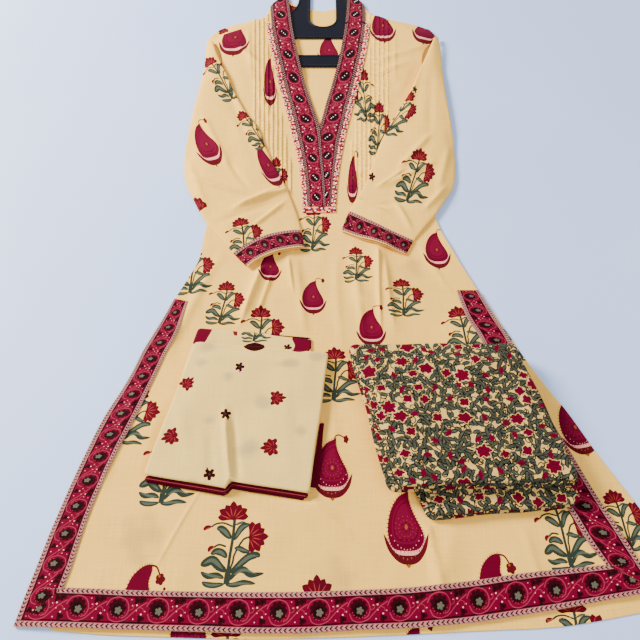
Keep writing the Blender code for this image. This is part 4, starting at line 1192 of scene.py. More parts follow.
def band_cell(seed):
    """One repeat of the neck band: a dark flower in a pink ring on a ground crowded with pink dots."""
    draw = random.Random(seed)
    spans = ((-0.55, 0.55), (-0.31, 0.31), (0.014, 0.030))
    shapes = [(BAND_SCRIBBLE, dot(*(draw.uniform(*span) for span in spans), 5)) for _ in range(70)]
    ring = [(0.27 * math.cos(a), 0.30 * math.sin(a)) for a in np.arange(0.4, 5.9, 0.5)]
    tail = [(0.27, 0.08), (0.36, 0.22), (0.48, 0.24), (0.60, 0.10), (0.70, -0.10)]
    shapes += [(BAND_GROUND, scallop(0, 0, 0.25, 8, 0.05)),
               (VINE_PINK, brush(ring, 0.036, 2)),
               (VINE_PINK, brush(tail, 0.030, 2)),
               (BAND_FLOWER, scallop(0, 0, 0.205, 7, 0.20, 4, seed)),
               (MAROON, scallop(0.03, -0.02, 0.10, 5, 0.25, 3, seed))]
    for x, y in ((0.50, 0.12), (0.55, -0.16), (-0.42, -0.22), (0.36, -0.26)):
        shapes.append((BAND_FLOWER, dot(x + 0.03, y - 0.05, 0.045, 6)))
        shapes.append((PALE_PINK, dot(x, y, 0.036, 6)))
    return shapes


# The seed of each band's dots, and where its flowers' centres lie up the front, from its top to its foot
BAND_ROWS = [
    (20, [0.576, 0.510, 0.446, 0.378, 0.311, 0.254, 0.199, 0.148, 0.100, 0.054, 0.010, -0.034]),
    (50, [0.560, 0.510, 0.448, 0.380, 0.316, 0.258, 0.204, 0.152, 0.106, 0.060, 0.016, -0.030]),
]
BAND_DOTS = 12
bead_spots = []
band_rise = {}


def over_front(rise, x, y):
    """The upper side of a band whose solid rises so: never lower than the front below it allows."""
    return np.maximum(rise, front_top(x, y) + SEWN_GAP + STRIP) + STRIP_PROUD


for name, (seed, flower_heights) in zip(BANDS, BAND_ROWS):
    edge = rounded_off(node_outlines(name)[0], 0.006)
    low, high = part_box(name)
    sides = strip_sides(edge, np.arange(low.y + 0.0005, high.y - 0.042, 0.008))
    spot, length = strip_map(*(sides if name.endswith("left") else sides[::-1]))
    stops = np.linspace(-0.02, length + 0.09, 400)
    centres = np.interp(flower_heights[::-1], spot(stops, np.full(400, 0.5))[:, 1], stops)
    shapes = border_print(spot, centres, [], edge=0.17, arrows=False)
    shapes[1:3] = [(DOTTED_EDGE, points) for _, points in shapes[1:3]]
    for number in range(-1, len(centres) + 1):
        near = min(max(number, 0), len(centres) - 2)
        step = centres[near + 1] - centres[near]
        middle = centres[near] + step * (number - near)
        for colour, points in band_cell(number + seed):
            shapes.append((colour, spot(middle + points[:, 0] / CELL * step, points[:, 1] + 0.5)))
        around = dot(0, 0, 0.030, 6)
        for k in range(BAND_DOTS):
            for t, shift in ((0.045, 0.0), (0.115, 0.5), (0.885, 0.5), (0.955, 0.0)):
                along = middle + ((k + shift) / BAND_DOTS - 0.5) * step
                shapes.append((EDGE_DOT, spot(along + around[:, 0] * step * 0.62, t + around[:, 1])))
        for dx, dt in ((-0.01, 0.01), (-0.09, 0.08), (0.09, -0.07)):
            bead_spots += spot([middle + dx * step / CELL], [0.5 + dt]).tolist()
    band_rise[name] = relief(name, pitch=0.002, blur=1)
    lay_strip(name, name + "_strip", edge, shapes, lambda x, y: over_front(band_rise[name](x, y), x, y),
              border_cotton, step=0.005, ground=BAND_GROUND)

# The sequin edging
# A narrow braid of coral thread on pink net, down the outer side of each band and across the foot.
# It is sewn on by machine, with a white sequin or a glass bead at each cluster.
BRAID = 0.010
NET_PINK = dye(236, 148, 112)
CORAL = dye(132, 14, 34)
CORAL_DARK = dye(92, 0, 24)


def edging_print(spot, length, seed):
    """Coral clusters that step from side to side of the braid, and the places of its sequins."""
    draw = random.Random(seed)
    shapes, sequins = [(NET_PINK, band_of(spot, -0.01, length + 0.01, -0.1, 1.1))], []
    s = 0.002
    while s < length:
        t = 0.5 + (0.20 if len(sequins) % 2 else -0.20)
        for _ in range(9):
            ds, dt = draw.uniform(-0.0046, 0.0046), draw.uniform(-0.34, 0.34)
            size = draw.uniform(0.0015, 0.0028)
            around = scallop(0, 0, 1, 4, 0.3, 3, draw.uniform(0, 3))
            colour = CORAL_DARK if draw.random() < 0.3 else CORAL
            across = np.clip(t + dt, 0.1, 0.9) + around[:, 1] * size / BRAID
            shapes.append((colour, spot(s + ds + around[:, 0] * size, across)))
        sequins += spot([s], [t]).tolist()
        s += draw.uniform(0.0085, 0.0125)
    return shapes, sequins


edging_net = cotton_material("edging_net", 0.7, weave=0.0008, slub=0.16, bump=0.5, sheen=0.03)
sequin_spots = []
for name in EDGINGS:
    edge = rounded_off(node_outlines(name)[0], 0.005)
    low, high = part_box(name)
    if name == "neck_edging_foot":
        sides = [np.array([(x, y) for x in np.linspace(low.x, high.x, 6)]) for y in (low.y, high.y)]
    else:
        sides = strip_sides(edge, np.arange(low.y + 0.0005, high.y - 0.0005, 0.008))
    spot, length = strip_map(*sides)
    shapes, found = edging_print(spot, length, len(name) * 7)
    sequin_spots += found
    lay_strip(name, name + "_braid", edge, shapes, strip_top, edging_net, step=0.004,
              ground=NET_PINK)


STUD_SIDES = 8
# A stud's rings as shares of its radius and of its height
STUD_RINGS = [(1.0, 0.0), (0.92, 0.45), (0.55, 0.86)]


def studs(name, spots, radius, height, surface, material, cup=0.0):
    """Small round studs sewn on a surface: beads, or cupped sequins."""
    verts, faces = [], []
    turns = np.arange(STUD_SIDES) * math.tau / STUD_SIDES
    for (x, y), base in zip(spots, surface(*np.array(spots).T)):
        start = len(verts)
        for share, rise in STUD_RINGS:
            verts += [(x + radius * share * c, y + radius * share * s, base + height * rise)
                      for c, s in zip(np.cos(turns), np.sin(turns))]
        top, foot = len(verts), len(verts) + 1
        verts += [(x, y, base + height * (1.0 - cup)), (x, y, base)]
        for k in range(STUD_SIDES):
            n = (k + 1) % STUD_SIDES
            for a in range(start, top - STUD_SIDES, STUD_SIDES):
                faces.append((a + k, a + n, a + STUD_SIDES + n, a + STUD_SIDES + k))
            faces += [(top - STUD_SIDES + k, top - STUD_SIDES + n, top), (start + n, start + k, foot)]
    mesh = bpy.data.meshes.new(name)
    mesh.from_pydata(verts, [], faces)
    mesh.update()
    mesh.shade_smooth()
    dress(name, mesh, material)


def shiny_material(name, colour, roughness, grain, polished, dull):
    """Glass or foil that is polished in some spots and dull in others."""
    material, tree, shader = new_material(name, colour, roughness)
    glint = add_node(tree, "ShaderNodeTexNoise", {"Scale": grain})
    shine = add_node(tree, "ShaderNodeMapRange", {"To Min": polished, "To Max": dull})
    wire(tree, (glint, "Fac", shine, "Value"), (shine, "Result", shader, "Roughness"))
    return material, shader


bead_glass, _ = shiny_material("glass_bead", dye(236, 226, 208), 0.18, 400.0, 0.10, 0.35)
sequin_foil, shader = shiny_material("white_sequin", dye(244, 238, 234), 0.22, 300.0, 0.12, 0.40)
shader.inputs["Metallic"].default_value = 0.35


def well_inside(spots, names):
    """The spots that lie well inside one of the named solids' outlines."""
    depths = [outside(node_outlines(name)[0], *np.array(spots).T) for name in names]
    return [spot for spot, *depth in zip(spots, *depths) if min(depth) < -0.0016]


def bead_seat(x, y):
    on_left = outside(node_outlines("neck_band_left")[0], x, y) < 0
    return over_front(np.where(on_left, *(band_rise[name](x, y) for name in BANDS)), x, y)


studs("band_beads", well_inside(bead_spots, BANDS), 0.0012, 0.0013, bead_seat, bead_glass)
studs("edging_sequins", well_inside(sequin_spots, EDGINGS), 0.0019, 0.0010, strip_top, sequin_foil, cup=0.45)

# The sleeves
# Each is one piece of the printed cotton closed along its underarm, folded flat over the front.
# The upper layer creases at the elbow and the inner fold cuts through whatever is printed there.
# The two corners of each open end: at the shoulder and at the foot
SLEEVE_ENDS = {
    "sleeve_left": [((-0.2710, 0.4295), (-0.2585, 0.4175)), ((-0.1785, -0.1075), (-0.0745, -0.0615))],
    "sleeve_right": [((0.1935, 0.4355), (0.1815, 0.4215)), ((0.1025, -0.0825), (0.0025, -0.0215))],
}
SLEEVE_PRINT = {
    "sleeve_left": [
        ("plant", -0.162, -0.076, 0.060, 0.080, 12),
        ("paisley", -0.244, 0.130, 0.043, 0.126, 23),
        ("paisley", -0.134, 0.080, 0.033, 0.118, 22),
        ("plant", -0.232, 0.310, 0.056, 0.140, 28),
        ("plant", -0.162, 0.170, 0.050, 0.110, 30),
        ("lotus", -0.247, -0.006, 0.014, 0.036, 40),
    ],
    "sleeve_right": [
        ("plant", 0.118, 0.053, 0.060, 0.128, -15),
        ("plant", 0.1020, 0.2080, 0.052, 0.128, -26),
        ("tiny", 0.043, 0.052, 0.012, 0.022),
        ("tiny", 0.132, 0.268, 0.010, 0.020),
    ],
}
SLEEVE_CREASES = {
    "sleeve_left": [
        (-0.262, 0.050, -0.165, 0.010, 0.0052, 0.0050),
        (-0.185, -0.020, -0.110, 0.030, 0.0050, 0.0056),
        (-0.205, -0.045, -0.120, -0.005, 0.0056, -0.0020),
        (-0.150, -0.055, -0.100, 0.000, 0.0040, 0.0034),
        (-0.200, 0.085, -0.160, 0.022, 0.0050, -0.0024),
        (-0.084, 0.032, -0.160, -0.010, 0.0040, 0.0040),
        (-0.240, 0.390, -0.170, 0.180, 0.0060, 0.0030),
        (-0.225, 0.300, -0.150, 0.090, 0.0070, -0.0016),
        (-0.255, 0.200, -0.190, 0.060, 0.0060, 0.0030),
        (-0.270, 0.090, -0.230, -0.010, 0.0060, 0.0028),
    ],
    "sleeve_right": [
        (0.0200, 0.0060, 0.0620, -0.0170, 0.0026, -0.0030),
        (0.0180, 0.0000, 0.0640, -0.0250, 0.0034, 0.0034),
        (0.050, 0.028, 0.100, 0.070, 0.0040, 0.0040),
        (0.060, 0.030, 0.150, 0.085, 0.0056, 0.0040),
        (0.050, -0.010, 0.120, 0.000, 0.0050, -0.0018),
        (0.100, -0.060, 0.075, 0.000, 0.0045, 0.0034),
        (0.125, -0.020, 0.165, 0.030, 0.0045, 0.0034),
        (0.160, 0.390, 0.115, 0.190, 0.0060, 0.0030),
        (0.170, 0.330, 0.150, 0.120, 0.0070, -0.0016),
        (0.150, 0.150, 0.085, 0.060, 0.0055, 0.0034),
        (0.180, 0.120, 0.150, 0.010, 0.0060, 0.0028),
    ],
}


def end_runs(outline, ends):
    """The runs of an outline's points between the two corners of each open end."""
    runs = []
    for corners in ends:
        numbers = sorted(int(np.argmin(np.hypot(*(outline - np.array(c)).T))) for c in corners)
        inner = outline[numbers[0]:numbers[1] + 1]
        outer = np.concatenate([outline[numbers[1]:], outline[:numbers[0] + 1]])
        runs.append(inner if len(inner) < len(outer) else outer)
    return runs


def on_runs(runs, points):
    """Which points lie on an open end, its two corners left out."""
    result = np.zeros(len(points), bool)
    for run in runs:
        corner = np.minimum(np.hypot(*(points - run[0]).T), np.hypot(*(points - run[-1]).T)) < 3e-4
        result |= (from_segments(points, run[:-1], run[1:]) < 3e-5) & ~corner
    return result


def lay_tube(node, outline, runs, shapes, top, bottom, reach, wall, material, under_step, extra=()):
    """Lays a flattened tube: printed above, plain below, folded along its sides and open at its two ends."""
    plan, tris, prints = cut_out(outline, [s for _, s in shapes], 0.005, extra=extra,
                                 rings=[inset(outline, reach * d) for d in (0.08, 0.3, 0.65, 1.0)])
    edges = single_edges(tris)
    at_end = on_runs(runs, plan)
    a, b = (plan[list(ends)] for ends in zip(*((a, b) for a, b in edges if not (at_end[a] or at_end[b]))))
    roll = quarter_circle(from_segments(plan, a, b) / reach)
    high, low = top(*plan.T), bottom(*plan.T)
    verts = [tuple(v) for v in np.column_stack([plan, (high + low) / 2 + (high - low) / 2 * roll])]
    loop = max(ordered(edges), key=lambda run: abs(signed_area(plan[run])))
    open_rim = set(np.nonzero(at_end)[0].tolist())
    faces = [tuple(t) for t in tris]
    faces += underside(verts, plan, [loop], under_step, under_step * 0.3, bottom, open_rim)
    colours = tones(shapes, prints, CREAM)
    colours = np.concatenate([colours, np.tile(CREAM, (len(faces) - len(colours), 1))])
    piece = dress(node + "_tube", painted_mesh(node + "_tube", verts, faces, colours), material, node)
    solid = piece.modifiers.new("wall", "SOLIDIFY")
    solid.thickness = wall
    solid.offset = -1.0
    return piece


for name, ends in SLEEVE_ENDS.items():
    edge = rounded_off(node_outlines(name, 0.02)[0], 0.006)
    upper, lower = (relief(name, from_below, pitch=0.003) for from_below in (False, True))

    def sleeve_top(x, y, upper=upper, name=name):
        return (upper(x, y) + crease_height(x, y, SLEEVE_CREASES[name]) + unevenness(x, y, 16.0, 0.0026, 5.5)
                + unevenness(x, y, 50.0, 0.0006, 1.5) + 0.0008)

    piece = lay_tube(name, edge, end_runs(edge, ends), print_rows(SLEEVE_PRINT[name]), sleeve_top, lower,
                     reach=0.0034, wall=0.0006, material=kurta_cotton, under_step=0.03,
                     extra=along_creases(SLEEVE_CREASES[name], edge))
    width, length = sorted(sheet_size(edge))
    2 * abs(signed_area(edge))

# The cuffs
# A band of the hem's border print, folded double, so that a line of the cream lining shows at its edge.
CUFF_GROUND = dye(86, 0, 27)
# The two corners of each open end: at the sleeve's seam and at the foot
CUFF_ENDS = {
    "cuff_left": [((-0.1780, -0.1080), (-0.0745, -0.0620)), ((-0.1555, -0.1355), (-0.0680, -0.0985))],
    "cuff_right": [((0.1020, -0.0830), (0.0020, -0.0220)), ((0.0885, -0.1095), (-0.0115, -0.0635))],
}


def evenly(run, count=14):
    lengths = lengths_of(run)
    return points_at(np.linspace(0, lengths[-1], count), lengths, run)


for name, ends in CUFF_ENDS.items():
    edge = rounded_off(node_outlines(name, 0.02)[0], 0.004)
    seam, foot = end_runs(edge, ends)
    if np.hypot(*(seam[0] - foot[0])) > np.hypot(*(seam[0] - foot[-1])):
        foot = foot[::-1]
    spot, length = strip_map(evenly(foot), evenly(seam))
    shapes = border_print(spot, even_centres(length, 0.010, lambda share: 0.0255), cell, chevrons=6)
    shapes = [(CUFF_GROUND if colour is BORDER_GROUND else colour, points) for colour, points in shapes]
    shapes.append((CREAM, band_of(spot, -0.01, length + 0.01, -0.05, 0.035)))
    upper, lower = (relief(name, from_below, pitch=0.002, blur=1) for from_below in (False, True))

    def cuff_top(x, y, upper=upper):
        return upper(x, y) + unevenness(x, y, 20.0, 0.0006, 2.2) + 0.0006

    piece = lay_tube(name, edge, (seam, foot), shapes, cuff_top, lower, reach=0.0030, wall=0.0007,
                     material=border_cotton, under_step=0.02)

# The hanger
# A flat moulded hanger of near-black blue plastic between the two panels, with a rim round each edge.
# Its loop hole and its long window are moulded through, and the bar below the window is narrow.
NAVY = dye(3, 5, 15)
RIM_DEPTH = 0.0009
RIM_WIDTH = 0.0035
RIM_SLOPE = 0.0012
EDGE_RINGS = [0.0003, 0.0009, RIM_WIDTH, RIM_WIDTH + RIM_SLOPE / 2, RIM_WIDTH + RIM_SLOPE]
hanger_edge, *hanger_holes = [rounded_off(loop, 0.003, 32.0) for loop in node_outlines("hanger")]
hanger_low, hanger_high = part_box("hanger")


def hanger_top(x, y):
    from_edge = -outside(hanger_edge, x, y)
    for hole in hanger_holes:
        from_edge = np.minimum(from_edge, outside(hole, x, y))
    return hanger_high.z - RIM_DEPTH * smooth((from_edge - RIM_WIDTH) / RIM_SLOPE)


rings = [inset(hanger_edge, d) for d in EDGE_RINGS]
rings += [inset(hole, -d) for hole in hanger_holes for d in EDGE_RINGS]
plan, tris, _ = cut_out(hanger_edge, [], 0.006, rings=rings, holes=hanger_holes)
mesh = panel_mesh("hanger_moulding", plan, tris, np.tile(NAVY, (len(tris), 1)), hanger_top, 0.0, NAVY,
                  bottom=lambda x, y: np.full_like(x, hanger_low.z))
plastic, tree, shader = new_material("hanger_plastic", NAVY, 0.42)
shader.inputs["Specular IOR Level"].default_value = 0.16
grain = add_node(tree, "ShaderNodeTexNoise", {"Scale": 260.0, "Detail": 3.0})
wear = add_node(tree, "ShaderNodeTexNoise", {"Scale": 18.0, "Detail": 4.0, "Roughness": 0.7})
gloss = add_node(tree, "ShaderNodeMapRange",
                 {"From Min": 0.3, "From Max": 0.7, "To Min": 0.36, "To Max": 0.56})
lift = add_node(tree, "ShaderNodeBump", {"Strength": 0.12, "Distance": 0.0004})
mottle = two_tone(tree, dye(1, 2, 9), dye(6, 9, 22))
wire(tree, (wear, "Fac", gloss, "Value"), (wear, "Fac", mottle, "Fac"),
     (mottle, "Color", shader, "Base Color"), (gloss, "Result", shader, "Roughness"),
     (grain, "Fac", lift, "Height"), (lift, "Normal", shader, "Normal"))
dress("hanger_moulding", mesh, plastic, "hanger")

# The stole
# A long, thin cotton stole folded down to a packet, with its crimson border showing at the fold.
# Small lotus heads and dark five-petalled flowers are scattered on it.
STOLE_CREAM = dye(228, 190, 104)
STOLE_BASE = 0.0030
STOLE_LAYERS = [
    (0.0000, 0.0035, [(-0.2195, -0.2405), (-0.0565, -0.2565), (-0.0595, -0.4755), (-0.2620, -0.4530)]),
    (0.0035, 0.0070, [(-0.2205, -0.2645), (-0.0345, -0.2835), (-0.0585, -0.4765), (-0.2630, -0.4540)]),
    (0.0070, 0.0110, [(-0.2195, -0.2665), (-0.0325, -0.2845), (-0.0575, -0.4785), (-0.2640, -0.4555)]),
]
STOLE_PRINT = [
    ("bloom", -0.222, -0.331, 0.0150, 0.0210, -42),
    ("bloom", -0.100, -0.3535, 0.0160, 0.0220, -88),
    ("bloom", -0.237, -0.407, 0.0170, 0.0230, 108),
    ("bloom", -0.109, -0.421, 0.0175, 0.0235, 96),
    ("tiny", -0.154, -0.309, 0.014, 0.015),
    ("tiny", -0.167, -0.378, 0.015, 0.016, 20),
    ("tiny", -0.182, -0.454, 0.016, 0.016, 200),
]
STOLE_PEEK = [
    ("plant", -0.134, -0.239, 0.046, 0.052),
    ("tiny", -0.090, -0.2745, 0.013, 0.013),
    ("lotus", -0.166, -0.246, 0.010, 0.007, 90),
]
STOLE_PATCHES = [
    (CRIMSON, [(-0.2246, -0.2660), (-0.2225, -0.2480), (-0.2140, -0.2390), (-0.1990, -0.2405),
               (-0.2030, -0.2550), (-0.2100, -0.2670)]),
    (CRIMSON, [(-0.0835, -0.2570), (-0.0620, -0.2600), (-0.0545, -0.2640), (-0.0600, -0.2790),
               (-0.0700, -0.2840), (-0.0830, -0.2820), (-0.0800, -0.2700)]),
    (MAROON, [(-0.1500, -0.2770), (-0.1490, -0.2690), (-0.1430, -0.2665), (-0.1360, -0.2650),
              (-0.1290, -0.2670), (-0.1230, -0.2700), (-0.1220, -0.2780), (-0.1360, -0.2830)]),
    (MAROON, [(-0.1120, -0.2505), (-0.0850, -0.2530), (-0.0590, -0.2558), (-0.0590, -0.2600),
              (-0.0850, -0.2568), (-0.1120, -0.2535)]),
]
STOLE_SHOW_THROUGH = [
    (-0.047, -0.290, 0.034, 0.020), (-0.203, -0.276, 0.026, 0.030), (-0.121, -0.358, 0.034, 0.026),
    (-0.136, -0.424, 0.032, 0.034), (-0.070, -0.398, 0.018, 0.016), (-0.188, -0.386, 0.020, 0.018),
    (-0.088, -0.302, 0.036, 0.018), (-0.168, -0.322, 0.016, 0.014), (-0.202, -0.470, 0.022, 0.016),
    (-0.206, -0.300, 0.024, 0.014),
]
STOLE_CREASES = [
    (-0.169, -0.370, -0.152, -0.476, 0.0042, 0.0046),
    (-0.158, -0.375, -0.142, -0.476, 0.0048, -0.0030),
    (-0.186, -0.400, -0.176, -0.472, 0.0060, -0.0016),
    (-0.215, -0.285, -0.060, -0.300, 0.0060, 0.0008),
    (-0.235, -0.350, -0.205, -0.440, 0.0080, 0.0010),
    (-0.090, -0.330, -0.080, -0.460, 0.0080, 0.0008),
]


def kinked(points):
    """The foot of the stole, drawn down to the crease on its left and up again beyond it."""
    x, y = points[:, 0], points[:, 1]
    left = -0.0058 * np.clip((x + 0.2585) / 0.1005, 0, 1)
    right = 0.0046 * np.clip(1 - (x + 0.158) / 0.1, 0, 1)
    beyond = smooth((x + 0.1605) / 0.006)
    moved = points.copy()
    moved[:, 1] = y + (left * (1 - beyond) + right * beyond) * smooth((-0.37 - y) / 0.07)
    return moved


def round_cornered(corners, radius, step=0.006, bow=0.0):
    """A four-cornered outline with round corners."""
    corners = [np.array(c, float) for c in corners]
    points = []
    for k, here in enumerate(corners):
        before, after = corners[k - 1], corners[(k + 1) % len(corners)]
        into = (before - here) / np.hypot(*(before - here))
        out = (after - here) / np.hypot(*(after - here))
        start, end = here + into * radius, here + out * radius
        for t in np.linspace(0, 1, 7):
            points.append((1 - t) ** 2 * start + 2 * t * (1 - t) * here + t * t * end)
        next_start = after - out * radius
        count = max(2, int(np.hypot(*(next_start - end)) / step))
        sideways = np.array([out[1], -out[0]])
        for t in np.linspace(0, 1, count + 1)[1:-1]:
            wave = bow * math.sin(math.pi * t) * math.sin(9 * t + k)
            points.append(end + (next_start - end) * t + sideways * wave)
    return np.array(points)


def lay_folded(name, outline, shapes, low, high, swell, node, material, ground, rests, step=0.006,
               under_step=0.03, reach=None, below=(), extra=()):
    """One folded layer as a thin pillow with round edges, its top raised by a function."""
    reach = reach or (high - low) * 0.8
    plan, tris, prints = cut_out(outline, [s for _, s in shapes], step, extra=extra,
                                 rings=[inset(outline, reach * d) for d in (0.05, 0.2, 0.45, 0.75, 1.0)])
    mesh = panel_mesh(name, plan, tris, tones(shapes, prints, ground), lambda x, y: high + swell(x, y), 0.0,
                      ground, bottom=lambda x, y: np.full_like(x, low), under_step=under_step, reach=reach,
                      waist=(low + high) / 2, shade=ghosts(*plan.T, below, 0.85))
    piece = dress(name, mesh, material, node)
    width, length = sorted(sheet_size(outline))
    max(width, 0.0105)
    abs(signed_area(outline))


def no_swell(x, y):
    return np.zeros_like(x)


stole_cotton = cotton_material("stole_cotton", 0.86, slub=0.08, bump=0.22, sheen=0.03)
patches = [(colour, loop_through(points)) for colour, points in STOLE_PATCHES]
edges = [kinked(round_cornered(corners, 0.006, bow=0.0006)) for _, _, corners in STOLE_LAYERS]


def stole_swell(x, y):
    inner = smooth(-outside(edges[-1], x, y) / 0.03)
    return 0.0008 * inner + crease_height(x, y, STOLE_CREASES) + unevenness(x, y, 22.0, 0.0022, 8.8) * inner


rests = "kurta_front_panel"
stole_rows = (STOLE_PEEK, [], STOLE_PRINT)
for number, ((low, high, _), edge, rows) in enumerate(zip(STOLE_LAYERS, edges, stole_rows)):
    topmost = number == len(STOLE_LAYERS) - 1
    name = f"stole_layer_{number}"
    lay_folded(name, edge, print_rows(rows) + patches, STOLE_BASE + low, STOLE_BASE + high,
               stole_swell if topmost else no_swell, "stole_folded", stole_cotton,
               STOLE_CREAM, rests, step=0.005 if topmost else 0.012, below=STOLE_SHOW_THROUGH,
               extra=along_creases(STOLE_CREASES, edge) if topmost else ())
    rests = name

# The stole's border
# The crimson edge of the stole, folded in with it: two layers along the foot and one down the side.
# Each band along the foot carries a pale line of painted highlight: the sheen on its rounded fold.
STOLE_MAROON = dye(76, 1, 18)
# Painted highlight: the colour of the pale line painted along each foot band in place of the sheen on its
# fold
STOLE_FOLD_HIGHLIGHT = dye(150, 56, 62)
STOLE_STRIPS = {
    "stole_foot_strip": [
        (0.0000, 0.0030, [(-0.2600, -0.4545), (-0.0625, -0.4770), (-0.0645, -0.4855), (-0.2620, -0.4630)]),
        (0.0030, 0.0062, [(-0.2610, -0.4550), (-0.0585, -0.4775), (-0.0605, -0.4835), (-0.2630, -0.4610)]),
    ],
    "stole_side_strip": [
        (0.0000, 0.0030, [(-0.0445, -0.3845), (-0.0390, -0.3845), (-0.0470, -0.4700), (-0.0573, -0.4690)]),
    ],
}
for node, layers in STOLE_STRIPS.items():
    for number, (low, high, corners) in enumerate(layers):
        edge = kinked(round_cornered(corners, 0.0022, 0.005, bow=0.0003))
        stops = np.linspace(0.01, 0.99, 40)[:, None]
        top_left, top_right, foot_right, foot_left = (np.array(c) for c in corners)
        head_line = top_left * (1 - stops) + top_right * stops
        foot_line = foot_left * (1 - stops) + foot_right * stops
        # The two shares across each band between which the painted highlight of its rounded fold is drawn
        highlight_sides = [head_line * (1 - t) + foot_line * t for t in (0.62, 0.71)]
        shapes = [(STOLE_FOLD_HIGHLIGHT, kinked(np.concatenate([highlight_sides[0], highlight_sides[1][::-1]])))]
        lay_folded(f"{node}_{number}", edge, shapes if node == "stole_foot_strip" else [], STOLE_BASE + low,
                   STOLE_BASE + high, lambda x, y: unevenness(x, y, 60.0, 0.0003, 4.4), node,
                   border_cotton, STOLE_MAROON, "kurta_front_panel", step=0.004, under_step=0.01,
                   reach=0.0018)

# The trousers
# Cotton trousers folded into a packet of five double layers, soft and rounded at each fold.
# Their own print is dense: crimson flowers of three sizes among grey-green leaves and near-black vines.
TROUSER_BASE = 0.0043
TROUSER_LAYERS = [
    (0.0000, 0.0055, [(0.0005, -0.2790), (0.2235, -0.2800), (0.2705, -0.4925), (0.0855, -0.5105)]),
    (0.0055, 0.0110, [(-0.0030, -0.2775), (0.2260, -0.2785), (0.2735, -0.4905), (0.0915, -0.5065)]),
    (0.0110, 0.0165, [(-0.0065, -0.2780), (0.2240, -0.2785), (0.2715, -0.4705), (0.0385, -0.4795)]),
    (0.0165, 0.0220, [(-0.0045, -0.2795), (0.2230, -0.2795), (0.2725, -0.4685), (0.0435, -0.4775)]),
    (0.0220, 0.0275, [(-0.0060, -0.2805), (0.2215, -0.2795), (0.2705, -0.4665), (0.0495, -0.4755)]),
]
TROUSER_CREAM = dye(206, 167, 94)
TROUSER_LEAF = dye(60, 62, 49)
TROUSER_LEAF_LIGHT = dye(104, 104, 78)
TROUSER_VINE = dye(4, 4, 5)
TROUSER_FLOWER = dye(90, 0, 26)
TROUSER_PRINT = {"flowers": 0.0250, "leaves": 0.0098, "large": 0.0112, "medium": 0.0076, "small": 0.0052}


def jittered(low, high, step, draw, shake=0.28):
    """Places on a staggered grid, each moved a little at random."""
    spots = []
    for row, y in enumerate(np.arange(low[1] - step, high[1] + step, step * 0.87)):
        for x in np.arange(low[0] - step + (step / 2 if row % 2 else 0), high[0] + step, step):
            spots.append((x + draw.uniform(-shake, shake) * step, y + draw.uniform(-shake, shake) * step))
    return np.array(spots)


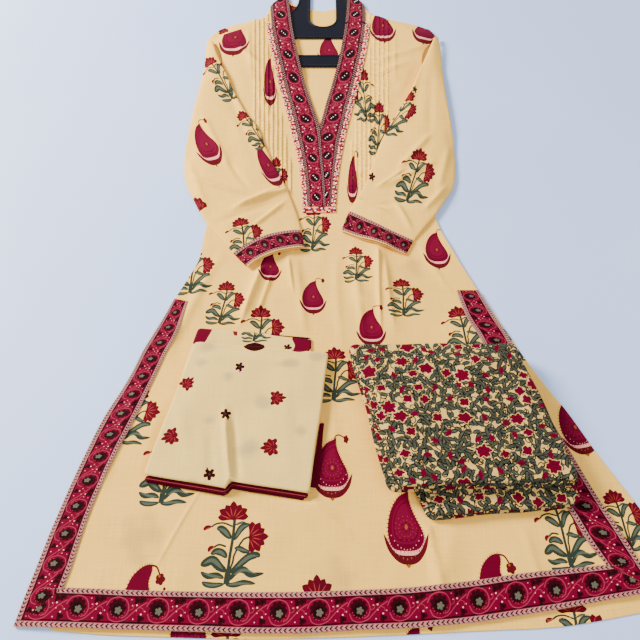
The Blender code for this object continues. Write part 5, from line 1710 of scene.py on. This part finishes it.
def trouser_print(low, high, seed, shows):
    """Crimson flowers of three sizes among crowded leaves with dark rims and curling vines."""
    draw = random.Random(seed)
    centres = jittered(low, high, TROUSER_PRINT["flowers"], draw)
    sizes = [TROUSER_PRINT[draw.choices(("large", "medium", "small"), (2, 4, 7))[0]] for _ in centres]
    turns = [draw.uniform(0, math.tau) for _ in centres]
    vines, leaves, flowers = [], [], []
    spots = jittered(low, high, TROUSER_PRINT["leaves"], draw, 0.35)
    seen = shows(spots[:, 0], spots[:, 1])
    for (x, y), good in zip(spots, seen):
        pick = [draw.random() for _ in range(8)]
        if not good or (np.hypot(centres[:, 0] - x, centres[:, 1] - y) < np.array(sizes) * 0.55).any():
            continue
        a = pick[0] * math.tau
        for k in range(2):
            b = a + k * (1.9 + pick[1])
            long = 0.0092 + 0.0048 * pick[2 + k]
            line = np.array([(x, y), off(x, y, 0.55 * long, b + 0.5 * (pick[4] - 0.5)), off(x, y, long, b)])
            leaves.append((TROUSER_VINE, brush(line, 0.0058, 2, leaf_like)))
            leaves.append((TROUSER_LEAF, brush(line, 0.0036, 2, leaf_like)))
            if pick[5] < 0.55:
                vein = [0.7 * line[0] + 0.3 * line[1], line[1]]
                leaves.append((TROUSER_LEAF_LIGHT, brush(vein, 0.0008, 2, petal_like)))
        centre = off(x, y, -0.0060, a)
        curl = 0.8 if pick[7] < 0.5 else -0.8
        arc = [off(*centre, 0.0022 + 0.0022 * pick[6], a + curl * k) for k in range(6)]
        vines.append((TROUSER_VINE, brush(arc, 0.0013, 2)))
        if pick[7] > 0.4:
            vines.append((TROUSER_VINE, dot(*centre, 0.0009, 5)))
    seen = shows(centres[:, 0], centres[:, 1])
    for (x, y), size, turn, good in zip(centres, sizes, turns, seen):
        if not good:
            continue
        stalk = [(x, y), off(x, y, 0.010, turn), off(x, y, 0.018, turn + 0.5)]
        vines.append((TROUSER_VINE, brush(stalk, 0.0012, 3)))
        if size == TROUSER_PRINT["small"]:
            for k in range(4):
                tip = off(x, y, 1.5 * size, turn + (k - 1.5) * 0.55)
                flowers.append((TROUSER_FLOWER, brush([(x, y), tip], size * 0.62, 4, blunt)))
        else:
            lobes = 9 if size == TROUSER_PRINT["large"] else 7
            ragged = scallop(0, 0, 1.0, lobes, 0.26, 4, turn)
            ragged = ragged * (1.0 + 0.16 * np.sin(np.arange(len(ragged)) * 0.9 + turn * 3))[:, None]
            ragged = ragged * np.array([1.0, 0.82 + 0.12 * math.sin(turn * 2)])
            flowers.append((TROUSER_CREAM, ragged * size * 0.92 + np.array([x, y])))
            flowers.append((TROUSER_FLOWER, ragged * size * 0.80 + np.array([x, y])))
            for b in turn + np.arange(5) * math.tau / 5:
                eye = (x + 0.30 * size * math.cos(b), y + 0.26 * size * math.sin(b))
                flowers.append((MAROON, dot(*eye, size * 0.07, 5)))
    return vines + leaves + flowers


TROUSER_CREASES = [
    (0.020, -0.300, 0.060, -0.460, 0.009, 0.0030),
    (0.080, -0.295, 0.230, -0.310, 0.009, 0.0024),
    (0.060, -0.445, 0.255, -0.452, 0.006, -0.0030),
    (0.140, -0.300, 0.190, -0.455, 0.013, 0.0024),
    (0.205, -0.310, 0.250, -0.440, 0.008, 0.0024),
    (0.050, -0.380, 0.150, -0.400, 0.011, 0.0020),
]
trouser_cotton = cotton_material("trouser_cotton", 0.84, bump=0.3)
top_edge = round_cornered(TROUSER_LAYERS[-1][2], 0.012)
rests = "kurta_front_panel"
for number, (low, high, corners) in enumerate(TROUSER_LAYERS):
    edge = round_cornered(corners, 0.012, bow=0.0012)
    topmost = number == len(TROUSER_LAYERS) - 1

    def shows(x, y, edge=edge, topmost=topmost):
        seen = outside(edge, x, y) < 0.012
        return seen if topmost else seen & (outside(top_edge, x, y) > -0.012)

    def trouser_swell(x, y, edge=edge):
        inner = smooth(-outside(edge, x, y) / 0.035)
        return (0.0022 + crease_height(x, y, TROUSER_CREASES) + unevenness(x, y, 24.0, 0.0012, 6.6)) * inner

    name = f"trouser_layer_{number}"
    shapes = trouser_print(edge.min(axis=0), edge.max(axis=0), 11 + number, shows)
    lay_folded(name, edge, shapes, TROUSER_BASE + low, TROUSER_BASE + high,
               trouser_swell if topmost else no_swell, "trousers_folded", trouser_cotton,
               TROUSER_CREAM, rests)
    rests = name
